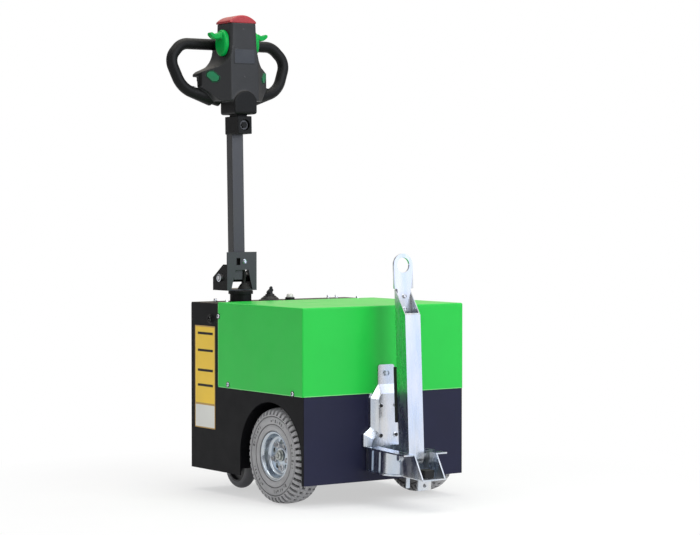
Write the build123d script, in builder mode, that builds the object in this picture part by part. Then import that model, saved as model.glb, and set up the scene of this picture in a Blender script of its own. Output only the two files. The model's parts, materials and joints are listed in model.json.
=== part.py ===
from build123d import *
import math
import os

os.makedirs("parts", exist_ok=True)

# Electric tow tractor with a hand tiller. Millimetres. +X points to the hitch end,
# -X to the tiller end, +Z up, and the ground is z = 0. "left" is +Y, "right" is -Y.

# Body
body_length = 565
body_width = 536
body_bottom = 62
cover_top = 534
cover_length = 419.5
cover_sheet = 2
cover_corner = 4
deck_step = 4
panel_sheet = 3
cover_lap = 22
tray_gap = 10
tray_sheet = 5

# Drive wheels
wheel_radius = 130
wheel_width = 85
wheel_gap = 15.5
arch_gap = 20
arch_offset_x = -14
arch_drop = 6
arch_to_cover = 24
tub_sheet = 2
tub_gap = 8
tub_bottom = 80
tyre_bulge_radius = 100
tyre_shoulder_radius = 122
tyre_shoulder = 6
tyre_bead = 10
rim_radius = 63
rim_lip = 4
rim_inset = 5
disc_inset = 21
disc_sheet = 4
disc_dish = 8
hub_flange_radius = 40
hub_radius = 29
shaft_radius = 12.5
shaft_depth = 50
hub_cap = 9
stud_circle = 27
stud_count = 5
stud_radius = 7
stud_length = 7

# Rear wheels, one steered and one free castor
small_radius = 62.5
small_width = 32
small_shoulder = 7
small_rim_radius = 44
core_lip = 5
core_web = 14
core_web_radius = 36
core_hub_radius = 19
core_hub_end = 15
rear_wheel_y = 147
steer_gap = 8
castor_gap = 7
castor_trail = 30
fork_plate = 5
fork_gap = 4
fork_arm_width = 34
fork_arm_root = 48
fork_crown_sheet = 8
crown_gap = 9
axle_radius = 6
axle_nut_radius = 11
axle_nut = 7
king_pin_stub = 5
castor_plate_length = 105
castor_plate_width = 85
castor_plate_sheet = 6
castor_bearing = 12
castor_plate_corner = 8
castor_head_radius = 33
crossmember_width = 140
crossmember_inset = 17
crossmember_wall = 4

# Drive unit and batteries
gearbox_radius = 60
gearbox_width = 104
gearbox_round = 12
gearbox_neck_radius = 41.6
axle_tube_radius = 28
axle_flange_radius = 46
axle_flange_sheet = 6
motor_radius = 52
motor_length = 160
motor_round = 6
motor_neck = 19
saddle_y = 105
saddle_sheet = 10
saddle_width = 84
battery_length = 260
battery_side_gap = 5
battery_height = 211
battery_x = 118
battery_gap = 4

# Steering column and turntable
column_radius = 20
housing_radius = 32
housing_top = 236
neck_radius = 30.5
neck_top = 552
turntable_radius = 35
turntable_top = 562
turntable_round = 1.5
collar_radius = 45
collar_height = 8

# Fixed bracket of the tiller
bracket_width = 99
bracket_sheet = 3
bracket_base = 4
bracket_front = 7
bracket_depth = 76
bracket_top = 671
bracket_chamfer_top = 640
bracket_ear_top = 604
bracket_shoulder = 24
bracket_lip = 12
window_top = 620
window_half_top = 22
window_half_bottom = 36
slot_width = 13
slot_height = 20
slot_y = -12
slot_z = 644
stop_y = 9
stop_radius = 7
boot_radius = 18
boot_top_radius = 13
boot_height = 16
boot_x = -4
boot_y = 14

# Tiller
pivot_x = -27
pivot_z = 598
tiller_lean = 1.35
pivot_pin_radius = 6
pivot_sleeve_radius = 13
pivot_head_radius = 11
pivot_head = 6
pivot_nut_radius = 10
pivot_nut = 8
tube_width = 40
tube_depth = 29
tube_wall = 3
tube_corner = 3
tube_centre_x = 6.5
tube_foot = -6
tube_top = 406
knuckle_height = 50
knuckle_width = 47
knuckle_reach = 40
knuckle_chamfer = 1.5
knuckle_recess = 16
recess_depth = 8
recess_bolt_radius = 9
recess_bolt = 6
neck_plate = 5
neck_plate_depth = 44
neck_plate_width = 34
neck_plate_corner = 4

# Tiller head, heights above the tilt pivot
head_bottom = 499
head_top = 718
head_width = 85
head_waist = 94
head_waist_z = 600
head_front = 64
head_back = -17
head_corner = 10
saddle_back = -46
saddle_half = 34
saddle_low = 636
saddle_high = 688
shoulder_tip_y = 127
shoulder_tip_x = -8
shoulder_tip_low = 548
shoulder_tip_high = 574
shoulder_neck = 650
shoulder_turn_y = 70
shoulder_turn = 596
shoulder_curve_y = 51
shoulder_curve = 616
shoulder_back = -42
shoulder_round = 4
facet_y = 45
facet_outer_x = 4
facet_outer_y = 117
base_half = 92
base_corner = 70
base_rise = 24
pocket_wall = 6
pocket_inner_y = 84
pocket_slope = 12
pocket_low = 530
boss_bottom = 461
boss_half = 37
boss_front = 68
boss_back = -16
boss_crown = 526
boss_round = 6
cap_width = 88
cap_front = 60
cap_back = -16
cap_height = 23
cap_side = 6
cap_round = 5
window_width = 70
window_height = 43
window_z = 624
window_sheet = 1.2
window_corner = 3
loop_radius = 16
loop_root_radius = 22
loop_root_y = 66
loop_root_length = 70
loop_x = -29
loop_lean = 7
loop_half = 187
loop_upper = 662
loop_start_y = 27
loop_end_y = 40.5
loop_end_drop = 162
paddle_width = 56
paddle_height = 75
paddle_sheet = 16
paddle_x = 27
paddle_z = 662
paddle_round = 6
paddle_step = 4
thumb_tip = 112
thumb_low = 675
thumb_high = 691
thumb_depth = 26
thumb_root = 8
thumb_nose = 20

# Deck fittings
switch_radius = 38
switch_height = 12
switch_taper = 35
switch_stalk_radius = 8
switch_stalk = 12
switch_grip = (8, 22, 3)
switch_y = -48
lamp_radius = 15
lamp_base = 9
lamp_height = 9
lamp_lens_radius = 10
lamp_y = 21
socket_radius = 11
socket_wall = 4
socket_reach = 6
socket_floor = 2
socket_x = -179
socket_z = 486
plate_width = 108
plate_height = 289
plate_sheet = 0.8
plate_corner = 3
plate_x = -208
plate_z = 321.5

# Hitch
hitch_plate_sheet = 6
hitch_press = 9
hitch_plate_half = 52
hitch_foot_half = 75
hitch_foot_web_half = 56
hitch_web_half = 31
hitch_web_foot_z = 184
hitch_foot_slope = 6
hitch_web_slope = 4
hitch_tab_half = 27
hitch_tab_top = 375
hitch_tab_corner = 7
hitch_fold_top = 322
hitch_fold_web_z = 297
hitch_web_top = 286
hitch_flare_top = 208
hitch_foot_z = 190
arm_slope = 2.5
arm_top = 157
arm_sheet = 4
arm_height = 66
arm_bend = 3
jaw_half = 34.5
jaw_flange = 33
jaw_top_length = 182
jaw_bottom_length = 224
gusset_half = 62
gusset_straight = 60
gusset_length = 118
gusset_wall = 4
gusset_lip = 6
gusset_ribs = (26, 58)
gusset_turn = 0.72
lug_x = 118
lug_y = -10
lug_width = 12
lug_drop = 34
block_length = 30
block_width = 32
block_height = 20
block_setback = 22
block_corner = 3
eyelet_half = 21.5
eyelet_drop = 32
eyelet_sheet = 6
eyelet_hole = 5.5
eyelet_hole_drop = 3
eyelet_x = 176

# Fold-up drawbar
bar_pivot_x = 120.5
bar_pivot_z = 135
bar_lean = 2.7
bar_width = 50
bar_depth = 45
bar_wall = 3
bar_front_top = 378
bar_back_top = 447
bar_foot_solid = 26
bar_pin_radius = 8
stop_rod_radius = 6
stop_rod_height = 4
strap_sheet = 6
strap_width = 42
strap_bottom = 366
eye_height = 511
eye_ring_radius = 31
eye_radius = 20.5

# Clearances
fit_gap = 0.05
seat_gap = 0.3
run_gap = 6

half_length = body_length / 2
half_width = body_width / 2
panel_outer = half_width - cover_sheet
panel_inner = panel_outer - panel_sheet
end_outer = half_length - cover_sheet
end_inner = end_outer - panel_sheet
rear_inner = -half_length + panel_sheet
arch_radius = wheel_radius + arch_gap
arch_height = wheel_radius - arch_drop
cover_bottom = arch_height + arch_radius + arch_to_cover
cover_rear = half_length - cover_length
deck_top = cover_top - deck_step
deck_bottom = deck_top - panel_sheet
tray_height = wheel_radius + gearbox_radius + tray_gap
tray_top = tray_height + tray_sheet
wheel_x = half_length - wheel_radius - wheel_gap
motor_flange_x = wheel_x - gearbox_radius - motor_neck
wheel_y = half_width - wheel_width / 2
arch_x = wheel_x + arch_offset_x
tub_inner = half_width - wheel_width - tub_gap
tub_wall_face = tub_inner - tub_sheet
battery_width = tub_wall_face - battery_side_gap - battery_gap / 2
steer_x = rear_inner + small_radius + steer_gap
castor_x = rear_inner + small_radius + castor_gap + castor_trail
crown_bottom = 2 * small_radius + crown_gap
fork_top = crown_bottom + fork_crown_sheet
member_bottom = fork_top + castor_bearing + castor_plate_sheet
crossmember_height = tray_height - member_bottom

hitch_plate_low = arm_top - arm_height

# The row's origin is on the ground under the middle of the whole machine's box.
lean = math.radians(tiller_lean)
slope = math.radians(arm_slope)
jaw_reach = half_length + jaw_bottom_length * math.cos(slope) - arm_height * math.sin(slope)
tiller_reach = -steer_x - pivot_x - saddle_back * math.cos(lean) + saddle_high * math.sin(lean)
body_x = (tiller_reach - jaw_reach) / 2
body_y = (rear_wheel_y + loop_half + loop_radius - half_width) / 2

body = Plane(origin=(body_x, body_y, 0))
steer = Plane(origin=(body_x + steer_x, body_y - rear_wheel_y, 0))
castor = Plane(origin=(body_x + castor_x, body_y + rear_wheel_y, 0))


def tilted(base, x, z, angle):
    """A plane at x, z of a base, turned about Y: positive angles lean its top to -X."""
    return Plane(base.location * Location((x, 0, z)) * Location((0, 0, 0), (0, -angle, 0)))


tiller = tilted(steer, pivot_x, pivot_z, tiller_lean)
arm = tilted(body, half_length, arm_top, -arm_slope)
bar = tilted(body, half_length + bar_pivot_x, bar_pivot_z, bar_lean)


def level(z, x=0, y=0, base=body):
    """Horizontal plane of a base: its sketch axes are X and Y."""
    return Plane(base.location * Location((x, y, z)))


def facing_front(x, y=0, z=0, base=body):
    """Plane of a base that looks along +X: its sketch axes are Y and Z."""
    turned = Plane(origin=(x, y, z), x_dir=(0, 1, 0), z_dir=(1, 0, 0))
    return Plane(base.location * turned.location)


def facing_right(y, x=0, z=0, base=body):
    """Plane of a base that looks along -Y: its sketch axes are X and Z."""
    turned = Plane(origin=(x, y, z), x_dir=(1, 0, 0), z_dir=(0, -1, 0))
    return Plane(base.location * turned.location)


sides = (("left", 1), ("right", -1))

# Cover: a folded sheet box, open below and towards the deck
with BuildPart() as hood:
    with BuildSketch(level(cover_bottom, cover_rear + cover_length / 2)):
        Rectangle(cover_length, body_width)
    extrude(amount=cover_top - cover_bottom)
    front_edges = hood.edges().filter_by(Axis.Z).group_by(Axis.X)[-1]
    fillet(front_edges + hood.faces().sort_by(Axis.Z)[-1].edges().sort_by(Axis.X)[1:], cover_corner)
    with BuildSketch(level(cover_bottom, cover_rear + (cover_length - cover_sheet) / 2)):
        Rectangle(cover_length - cover_sheet, body_width - 2 * cover_sheet)
    extrude(amount=cover_top - cover_bottom - cover_sheet, mode=Mode.SUBTRACT)
hood.part.label = "hood"
export_step(hood.part, "parts/hood.step")

# Side panels with their wheel arches
for name, side in sides:
    with BuildPart() as panel:
        with BuildSketch(facing_right(side * (panel_outer - panel_sheet / 2))):
            with BuildLine():
                Polyline(
                    (-half_length, body_bottom),
                    (end_outer, body_bottom),
                    (end_outer, cover_bottom + cover_lap),
                    (cover_rear, cover_bottom + cover_lap),
                    (cover_rear, deck_bottom),
                    (-half_length, deck_bottom),
                    close=True,
                )
            make_face()
            with Locations((arch_x, arch_height)):
                Circle(arch_radius, mode=Mode.SUBTRACT)
            with Locations((arch_x, arch_height / 2)):
                Rectangle(2 * arch_radius, arch_height, mode=Mode.SUBTRACT)
        extrude(amount=panel_sheet / 2, both=True)
    panel.part.label = f"side_panel_{name}"
    export_step(panel.part, f"parts/side_panel_{name}.step")

# End panels between the side panels
with BuildPart() as hitch_end_panel:
    with BuildSketch(facing_front(end_inner, z=(body_bottom + cover_bottom + cover_lap) / 2)):
        Rectangle(2 * panel_inner, cover_bottom + cover_lap - body_bottom)
    extrude(amount=panel_sheet)
hitch_end_panel.part.label = "hitch_end_panel"
export_step(hitch_end_panel.part, "parts/hitch_end_panel.step")

with BuildPart() as rear_panel:
    with BuildSketch(facing_front(-half_length, z=(body_bottom + deck_bottom) / 2)):
        Rectangle(2 * panel_inner, deck_bottom - body_bottom)
    extrude(amount=panel_sheet)
rear_panel.part.label = "rear_panel"
export_step(rear_panel.part, "parts/rear_panel.step")

# Rear deck, folded down along the cover to the tray
with BuildPart() as rear_deck:
    with BuildSketch(level(deck_bottom, (cover_rear - half_length) / 2)):
        Rectangle(cover_rear + half_length, 2 * panel_outer)
    extrude(amount=panel_sheet)
    fillet(rear_deck.edges().filter_by(Axis.Z).group_by(Axis.X)[0], cover_sheet)
    with BuildSketch(level(tray_top, cover_rear - panel_sheet / 2)):
        Rectangle(panel_sheet, 2 * panel_inner)
    extrude(amount=deck_bottom - tray_top)
    with BuildSketch(level(deck_bottom, steer_x, -rear_wheel_y)):
        Circle(column_radius + run_gap)
    extrude(amount=panel_sheet, mode=Mode.SUBTRACT)
rear_deck.part.label = "rear_deck"
export_step(rear_deck.part, "parts/rear_deck.step")

# Tray that carries the batteries, narrow between the wheel tubs
tub_rear = arch_x - arch_radius - tub_sheet
with BuildPart() as tray:
    with BuildSketch(level(tray_height)):
        with Locations(((rear_inner + tub_rear) / 2, 0)):
            Rectangle(tub_rear - rear_inner, 2 * panel_inner)
        with Locations(((tub_rear + end_inner) / 2, 0)):
            Rectangle(end_inner - tub_rear, 2 * tub_wall_face)
        with Locations((steer_x, -rear_wheel_y)):
            Circle(housing_radius, mode=Mode.SUBTRACT)
    extrude(amount=tray_sheet)
tray.part.label = "tray"
export_step(tray.part, "parts/tray.step")

# Wheel tubs behind the arches
for name, side in sides:
    with BuildPart() as tub:
        with BuildSketch(facing_right(side * tub_wall_face)):
            with Locations((arch_x, arch_height)):
                Circle(arch_radius + tub_sheet)
            with Locations((arch_x, (arch_height + tub_bottom) / 2)):
                Rectangle(2 * (arch_radius + tub_sheet), arch_height - tub_bottom)
            with Locations((arch_x, tub_bottom - arch_radius)):
                Rectangle(3 * arch_radius, 2 * arch_radius, mode=Mode.SUBTRACT)
        extrude(amount=-side * (panel_inner - tub_wall_face))
        with BuildSketch(facing_right(side * tub_inner)):
            with Locations((arch_x, arch_height)):
                Circle(arch_radius)
            with Locations((arch_x, arch_height / 2)):
                Rectangle(2 * arch_radius, arch_height)
        extrude(amount=-side * (panel_inner - tub_inner), mode=Mode.SUBTRACT)
        with BuildSketch(facing_right(side * tub_wall_face, wheel_x, wheel_radius)):
            Circle(hub_radius + run_gap)
        extrude(amount=-side * tub_sheet, mode=Mode.SUBTRACT)
    tub.part.label = f"wheel_tub_{name}"
    export_step(tub.part, f"parts/wheel_tub_{name}.step")

# Cross member under the tray, pierced for the steering column
member_x = rear_inner + crossmember_width / 2 + crossmember_inset
with BuildPart() as crossmember:
    with BuildSketch(level(member_bottom, member_x)):
        Rectangle(crossmember_width, 2 * panel_inner)
    extrude(amount=crossmember_height)
    with BuildSketch(level(member_bottom + crossmember_wall, member_x)):
        Rectangle(crossmember_width - 2 * crossmember_wall, 2 * panel_inner)
    extrude(amount=crossmember_height - 2 * crossmember_wall, mode=Mode.SUBTRACT)
    with BuildSketch(level(member_bottom, steer_x, -rear_wheel_y)):
        Circle(housing_radius)
    extrude(amount=crossmember_height, mode=Mode.SUBTRACT)
crossmember.part.label = "crossmember"
export_step(crossmember.part, "parts/crossmember.step")

# Batteries as two plain blocks
with BuildPart() as batteries:
    with BuildSketch(level(tray_top, battery_x)):
        with Locations((0, (battery_width + battery_gap) / 2), (0, -(battery_width + battery_gap) / 2)):
            Rectangle(battery_length, battery_width)
    extrude(amount=battery_height)
batteries.part.label = "batteries"
export_step(batteries.part, "parts/batteries.step")

# Drive axle: gearbox, axle tubes and their flanges on the tubs
with BuildPart() as drive_axle:
    with BuildSketch(facing_right(0, wheel_x, wheel_radius)):
        Circle(gearbox_radius)
    extrude(amount=gearbox_width / 2, both=True)
    chamfer(drive_axle.edges().filter_by(GeomType.CIRCLE), gearbox_round)
    with BuildSketch(facing_right(0, wheel_x, wheel_radius)):
        Circle(axle_tube_radius)
    extrude(amount=tub_wall_face, both=True)
    with BuildSketch(facing_front(motor_flange_x, z=wheel_radius)):
        Circle(gearbox_neck_radius)
    extrude(until=Until.NEXT)
    for side in (1, -1):
        with BuildSketch(facing_right(side * tub_wall_face, wheel_x, wheel_radius)):
            Circle(axle_flange_radius)
        extrude(amount=side * axle_flange_sheet)
        with BuildSketch(facing_right(side * tub_wall_face, wheel_x, wheel_radius)):
            Circle(shaft_radius + fit_gap)
        extrude(amount=side * (shaft_depth + run_gap), mode=Mode.SUBTRACT)
drive_axle.part.label = "drive_axle"
export_step(drive_axle.part, "parts/drive_axle.step")

# Motor, flanged to the gearbox
with BuildPart() as drive_motor:
    with BuildSketch(facing_front(motor_flange_x, z=wheel_radius)):
        Circle(motor_radius)
    extrude(amount=-motor_length)
    chamfer(drive_motor.edges().group_by(Axis.X)[0], motor_round)
drive_motor.part.label = "drive_motor"
export_step(drive_motor.part, "parts/drive_motor.step")

# Saddles that hang the axle tubes from the tray
with BuildPart() as axle_saddles:
    for side in (1, -1):
        with BuildSketch(facing_right(side * saddle_y, wheel_x)):
            with Locations((0, (wheel_radius + tray_height) / 2)):
                Rectangle(saddle_width, tray_height - wheel_radius)
            with Locations((0, wheel_radius)):
                Circle(axle_tube_radius + fit_gap, mode=Mode.SUBTRACT)
        extrude(amount=saddle_sheet / 2, both=True)
axle_saddles.part.label = "axle_saddles"
export_step(axle_saddles.part, "parts/axle_saddles.step")

# Drive wheels. Profiles are drawn with the wheel's outer side towards +X of the sketch.
tyre_half = wheel_width / 2
crown_half = tyre_half - tyre_shoulder
rim_face = tyre_half - rim_inset
seat = rim_face - rim_lip
bead_top = rim_radius + tyre_bead
disc_face = tyre_half - disc_inset
disc_back = disc_face - disc_sheet
hub_back = tub_wall_face - wheel_y
for name, side in sides:
    wheel = Plane(origin=(body_x + wheel_x, body_y + side * wheel_y, wheel_radius),
                  x_dir=(0, side, 0), z_dir=(side, 0, 0))
    axle_line = Axis(wheel.origin, (0, 1, 0))

    with BuildPart() as tyre:
        with BuildSketch(wheel):
            with BuildLine():
                Polyline((-seat, bead_top), (-seat, rim_radius), (seat, rim_radius), (seat, bead_top))
                ThreePointArc((seat, bead_top), (tyre_half, tyre_bulge_radius),
                              (crown_half, tyre_shoulder_radius))
                ThreePointArc((crown_half, tyre_shoulder_radius), (0, wheel_radius),
                              (-crown_half, tyre_shoulder_radius))
                ThreePointArc((-crown_half, tyre_shoulder_radius), (-tyre_half, tyre_bulge_radius),
                              (-seat, bead_top))
            make_face()
        revolve(axis=axle_line)
    tyre.part.label = f"tyre_{name}"
    export_step(tyre.part, f"parts/tyre_{name}.step")

    with BuildPart() as rim:
        with BuildSketch(wheel):
            with BuildLine():
                Polyline(
                    (-rim_face, rim_radius + rim_lip), (-seat, rim_radius + rim_lip),
                    (-seat, rim_radius - fit_gap), (seat, rim_radius - fit_gap),
                    (seat, rim_radius + rim_lip), (rim_face, rim_radius + rim_lip),
                    (rim_face, rim_radius - rim_lip), (disc_face + disc_dish, rim_radius - 2 * rim_lip),
                    (disc_face, rim_radius - 5 * rim_lip), (disc_face, shaft_radius + fit_gap),
                    (disc_back, shaft_radius + fit_gap), (disc_back, rim_radius - 4 * rim_lip),
                    (disc_back - disc_dish, rim_radius - rim_lip), (-rim_face, rim_radius - rim_lip),
                    close=True,
                )
            make_face()
        revolve(axis=axle_line)
    rim.part.label = f"rim_{name}"
    export_step(rim.part, f"parts/rim_{name}.step")

    with BuildPart() as hub:
        with BuildSketch(wheel):
            with BuildLine():
                Polyline(
                    (hub_back - shaft_depth, 0), (hub_back - shaft_depth, shaft_radius),
                    (hub_back + run_gap, shaft_radius), (hub_back + run_gap, hub_radius),
                    (disc_back - disc_dish, hub_radius), (disc_back - disc_dish, hub_flange_radius),
                    (disc_back, hub_flange_radius), (disc_back, shaft_radius),
                    (disc_face + hub_cap, shaft_radius), (disc_face + hub_cap, 0), close=True,
                )
            make_face()
        revolve(axis=axle_line)
        with BuildSketch(Plane(origin=wheel.location.position + Vector(0, side * disc_face, 0),
                               x_dir=(1, 0, 0), z_dir=(0, side, 0))):
            with PolarLocations(stud_circle, stud_count):
                RegularPolygon(stud_radius, 6)
        extrude(amount=stud_length)
    hub.part.label = f"hub_{name}"
    export_step(hub.part, f"parts/hub_{name}.step")

# Bearings of the steering column: a housing in the cross member, a collar under the deck
with BuildPart() as column_bearings:
    with BuildSketch(level(member_bottom, base=steer)):
        Circle(housing_radius - fit_gap)
        Circle(column_radius + fit_gap, mode=Mode.SUBTRACT)
    extrude(amount=housing_top - member_bottom)
    with BuildSketch(level(deck_bottom - collar_height, base=steer)):
        Circle(collar_radius)
        Circle(column_radius + fit_gap, mode=Mode.SUBTRACT)
    extrude(amount=collar_height)
column_bearings.part.label = "column_bearings"
export_step(column_bearings.part, "parts/column_bearings.step")

# Steering column with the neck and the turntable disc above the deck
with BuildPart() as steering_column:
    with BuildSketch(level(fork_top, base=steer)):
        Circle(column_radius)
    extrude(amount=deck_top + seat_gap - fork_top)
    with BuildSketch(level(deck_top + seat_gap, base=steer)):
        Circle(neck_radius)
    extrude(amount=neck_top - deck_top - seat_gap)
    with BuildSketch(level(neck_top, base=steer)):
        Circle(turntable_radius)
    extrude(amount=turntable_top - neck_top)
    chamfer(steering_column.edges().group_by(Axis.Z)[-1], turntable_round)
steering_column.part.label = "steering_column"
export_step(steering_column.part, "parts/steering_column.step")

# Forks of the two rear wheels
fork_inner = small_width / 2 + fork_gap
for name, base, trail in (("steer_fork", steer, 0), ("castor_fork", castor, -castor_trail)):
    with BuildPart() as fork:
        with BuildSketch(level(crown_bottom, base=base)):
            Circle(castor_head_radius)
        extrude(amount=fork_crown_sheet - (seat_gap if trail else 0))
        for side in (1, -1):
            with BuildSketch(facing_right(side * (fork_inner + fork_plate / 2), base=base)):
                with BuildLine():
                    Polyline(
                        (trail - fork_arm_width / 2, small_radius),
                        (trail + fork_arm_width / 2, small_radius),
                        (fork_arm_root / 2, crown_bottom + fork_crown_sheet / 2),
                        (-fork_arm_root / 2, crown_bottom + fork_crown_sheet / 2), close=True,
                    )
                make_face()
                with Locations((trail, small_radius)):
                    Circle(fork_arm_width / 2)
            extrude(amount=fork_plate / 2, both=True)
        with BuildSketch(facing_right(0, trail, small_radius, base=base)):
            Circle(axle_radius)
        extrude(amount=fork_inner + fork_plate, both=True)
        with BuildSketch(facing_right(fork_inner + fork_plate, trail, small_radius, base=base)):
            RegularPolygon(axle_nut_radius, 6)
        extrude(amount=-axle_nut)
        with BuildSketch(facing_right(-fork_inner - fork_plate, trail, small_radius, base=base)):
            RegularPolygon(axle_nut_radius, 6)
        extrude(amount=axle_nut)
        if trail:
            with BuildSketch(level(crown_bottom, base=base)):
                Circle(axle_radius + fit_gap)
            extrude(amount=fork_crown_sheet, mode=Mode.SUBTRACT)
    fork.part.label = name
    export_step(fork.part, f"parts/{name}.step")

# Rear wheels: a tread on a core with a plain bore
small_edge = small_radius - small_shoulder
core_half = fork_inner - 1
for name, base, trail in (("steer", steer, 0), ("castor", castor, -castor_trail)):
    spin = Plane(origin=base.location.position + Vector(trail, 0, small_radius),
                 x_dir=(0, 1, 0), z_dir=(1, 0, 0))
    spin_line = Axis(spin.origin, (0, 1, 0))
    with BuildPart() as small_tyre:
        with BuildSketch(spin):
            with BuildLine():
                Polyline((-small_width / 2, small_edge), (-small_width / 2, small_rim_radius + fit_gap),
                         (small_width / 2, small_rim_radius + fit_gap), (small_width / 2, small_edge))
                ThreePointArc((small_width / 2, small_edge), (0, small_radius),
                              (-small_width / 2, small_edge))
            make_face()
        revolve(axis=spin_line)
    small_tyre.part.label = f"{name}_tyre"
    export_step(small_tyre.part, f"parts/{name}_tyre.step")

    with BuildPart() as small_core:
        with BuildSketch(spin):
            with BuildLine():
                Polyline(
                    (-small_width / 2, small_rim_radius), (small_width / 2, small_rim_radius),
                    (small_width / 2, small_rim_radius - core_lip), (core_web / 2, core_web_radius),
                    (core_web / 2, core_hub_radius), (core_half, core_hub_end),
                    (core_half, axle_radius + fit_gap), (-core_half, axle_radius + fit_gap),
                    (-core_half, core_hub_end), (-core_web / 2, core_hub_radius),
                    (-core_web / 2, core_web_radius), (-small_width / 2, small_rim_radius - core_lip),
                    close=True,
                )
            make_face()
        revolve(axis=spin_line)
    small_core.part.label = f"{name}_core"
    export_step(small_core.part, f"parts/{name}_core.step")

# Castor head: top plate, bearing head and king pin
with BuildPart() as castor_head:
    with BuildSketch(level(member_bottom - castor_plate_sheet, base=castor)):
        RectangleRounded(castor_plate_length, castor_plate_width, castor_plate_corner)
    extrude(amount=castor_plate_sheet)
    with BuildSketch(level(fork_top, base=castor)):
        Circle(castor_head_radius)
    extrude(amount=member_bottom - castor_plate_sheet - fork_top)
    with BuildSketch(level(crown_bottom - king_pin_stub, base=castor)):
        Circle(axle_radius)
    extrude(amount=fork_top - crown_bottom + king_pin_stub)
castor_head.part.label = "castor_head"
export_step(castor_head.part, "parts/castor_head.step")

# Tiller bracket: a folded channel on the turntable, its web towards +X
half_bracket = bracket_width / 2
bracket_floor = turntable_top + bracket_base
bracket_rear = bracket_front - bracket_depth
web_inner = bracket_front - bracket_sheet
tube_front = pivot_x + tube_centre_x + tube_depth / 2
stop_face = tube_front - math.tan(lean) * (slot_z - pivot_z) + seat_gap
with BuildPart() as tilt_bracket:
    with BuildSketch(level(turntable_top, base=steer)):
        with Locations(((bracket_front + bracket_rear) / 2, 0)):
            Rectangle(bracket_depth, bracket_width)
    extrude(amount=bracket_base)
    for side in (1, -1):
        with BuildSketch(facing_right(side * (half_bracket - bracket_sheet / 2), base=steer)):
            with BuildLine():
                Polyline(
                    (bracket_rear, turntable_top), (bracket_front, turntable_top),
                    (bracket_front, bracket_top), (bracket_front - bracket_lip, bracket_top),
                    (bracket_front - bracket_shoulder, bracket_chamfer_top),
                    (bracket_rear, bracket_ear_top), close=True,
                )
            make_face()
        extrude(amount=bracket_sheet / 2, both=True)
    with BuildSketch(facing_front(web_inner, base=steer)):
        with Locations((0, (turntable_top + bracket_top) / 2)):
            Rectangle(bracket_width, bracket_top - turntable_top)
        with Locations((slot_y, slot_z)):
            Rectangle(slot_width, slot_height, mode=Mode.SUBTRACT)
    extrude(amount=bracket_sheet)
    with BuildSketch(facing_front(web_inner, base=steer)):
        with BuildLine():
            Polyline((-window_half_top, window_top), (window_half_top, window_top),
                     (window_half_bottom, turntable_top), (-window_half_bottom, turntable_top), close=True)
        make_face()
    extrude(amount=bracket_sheet, mode=Mode.SUBTRACT)
    with BuildSketch(facing_front(web_inner, stop_y, slot_z, base=steer)):
        Circle(stop_radius)
    extrude(amount=stop_face - web_inner)
    with BuildSketch(facing_right(-half_bracket, pivot_x, pivot_z, base=steer)):
        Circle(pivot_pin_radius + fit_gap)
    extrude(amount=-bracket_width, mode=Mode.SUBTRACT)
tilt_bracket.part.label = "tilt_bracket"
export_step(tilt_bracket.part, "parts/tilt_bracket.step")

# Tilt pin with its head and nut
with BuildPart() as tilt_pin:
    with BuildSketch(facing_right(0, pivot_x, pivot_z, base=steer)):
        Circle(pivot_pin_radius)
    extrude(amount=half_bracket + pivot_nut, both=True)
    with BuildSketch(facing_right(-half_bracket, pivot_x, pivot_z, base=steer)):
        Circle(pivot_head_radius)
    extrude(amount=pivot_head)
    with BuildSketch(facing_right(half_bracket, pivot_x, pivot_z, base=steer)):
        RegularPolygon(pivot_nut_radius, 6)
    extrude(amount=-pivot_nut)
tilt_pin.part.label = "tilt_pin"
export_step(tilt_pin.part, "parts/tilt_pin.step")

# Cable boot on the bracket's floor
with BuildPart() as cable_boot:
    with BuildSketch(level(bracket_floor, boot_x, boot_y, base=steer)):
        Circle(boot_radius)
    extrude(amount=boot_height / 2)
    with BuildSketch(level(bracket_floor + boot_height / 2, boot_x, boot_y, base=steer)):
        Circle(boot_top_radius)
    extrude(amount=boot_height / 2)
cable_boot.part.label = "cable_boot"
export_step(cable_boot.part, "parts/cable_boot.step")

# Tiller tube with the pivot sleeve in its foot
sleeve_half = half_bracket - bracket_sheet - seat_gap
with BuildPart() as tiller_tube:
    with BuildSketch(level(tube_foot, tube_centre_x, base=tiller)):
        RectangleRounded(tube_depth, tube_width, tube_corner)
        Rectangle(tube_depth - 2 * tube_wall, tube_width - 2 * tube_wall, mode=Mode.SUBTRACT)
    extrude(amount=tube_top - tube_foot)
    with BuildSketch(facing_right(0, base=tiller)):
        Circle(pivot_sleeve_radius)
    extrude(amount=sleeve_half, both=True)
    with BuildSketch(facing_right(0, base=tiller)):
        Circle(pivot_pin_radius + fit_gap)
    extrude(amount=sleeve_half, both=True, mode=Mode.SUBTRACT)
tiller_tube.part.label = "tiller_tube"
export_step(tiller_tube.part, "parts/tiller_tube.step")

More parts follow.
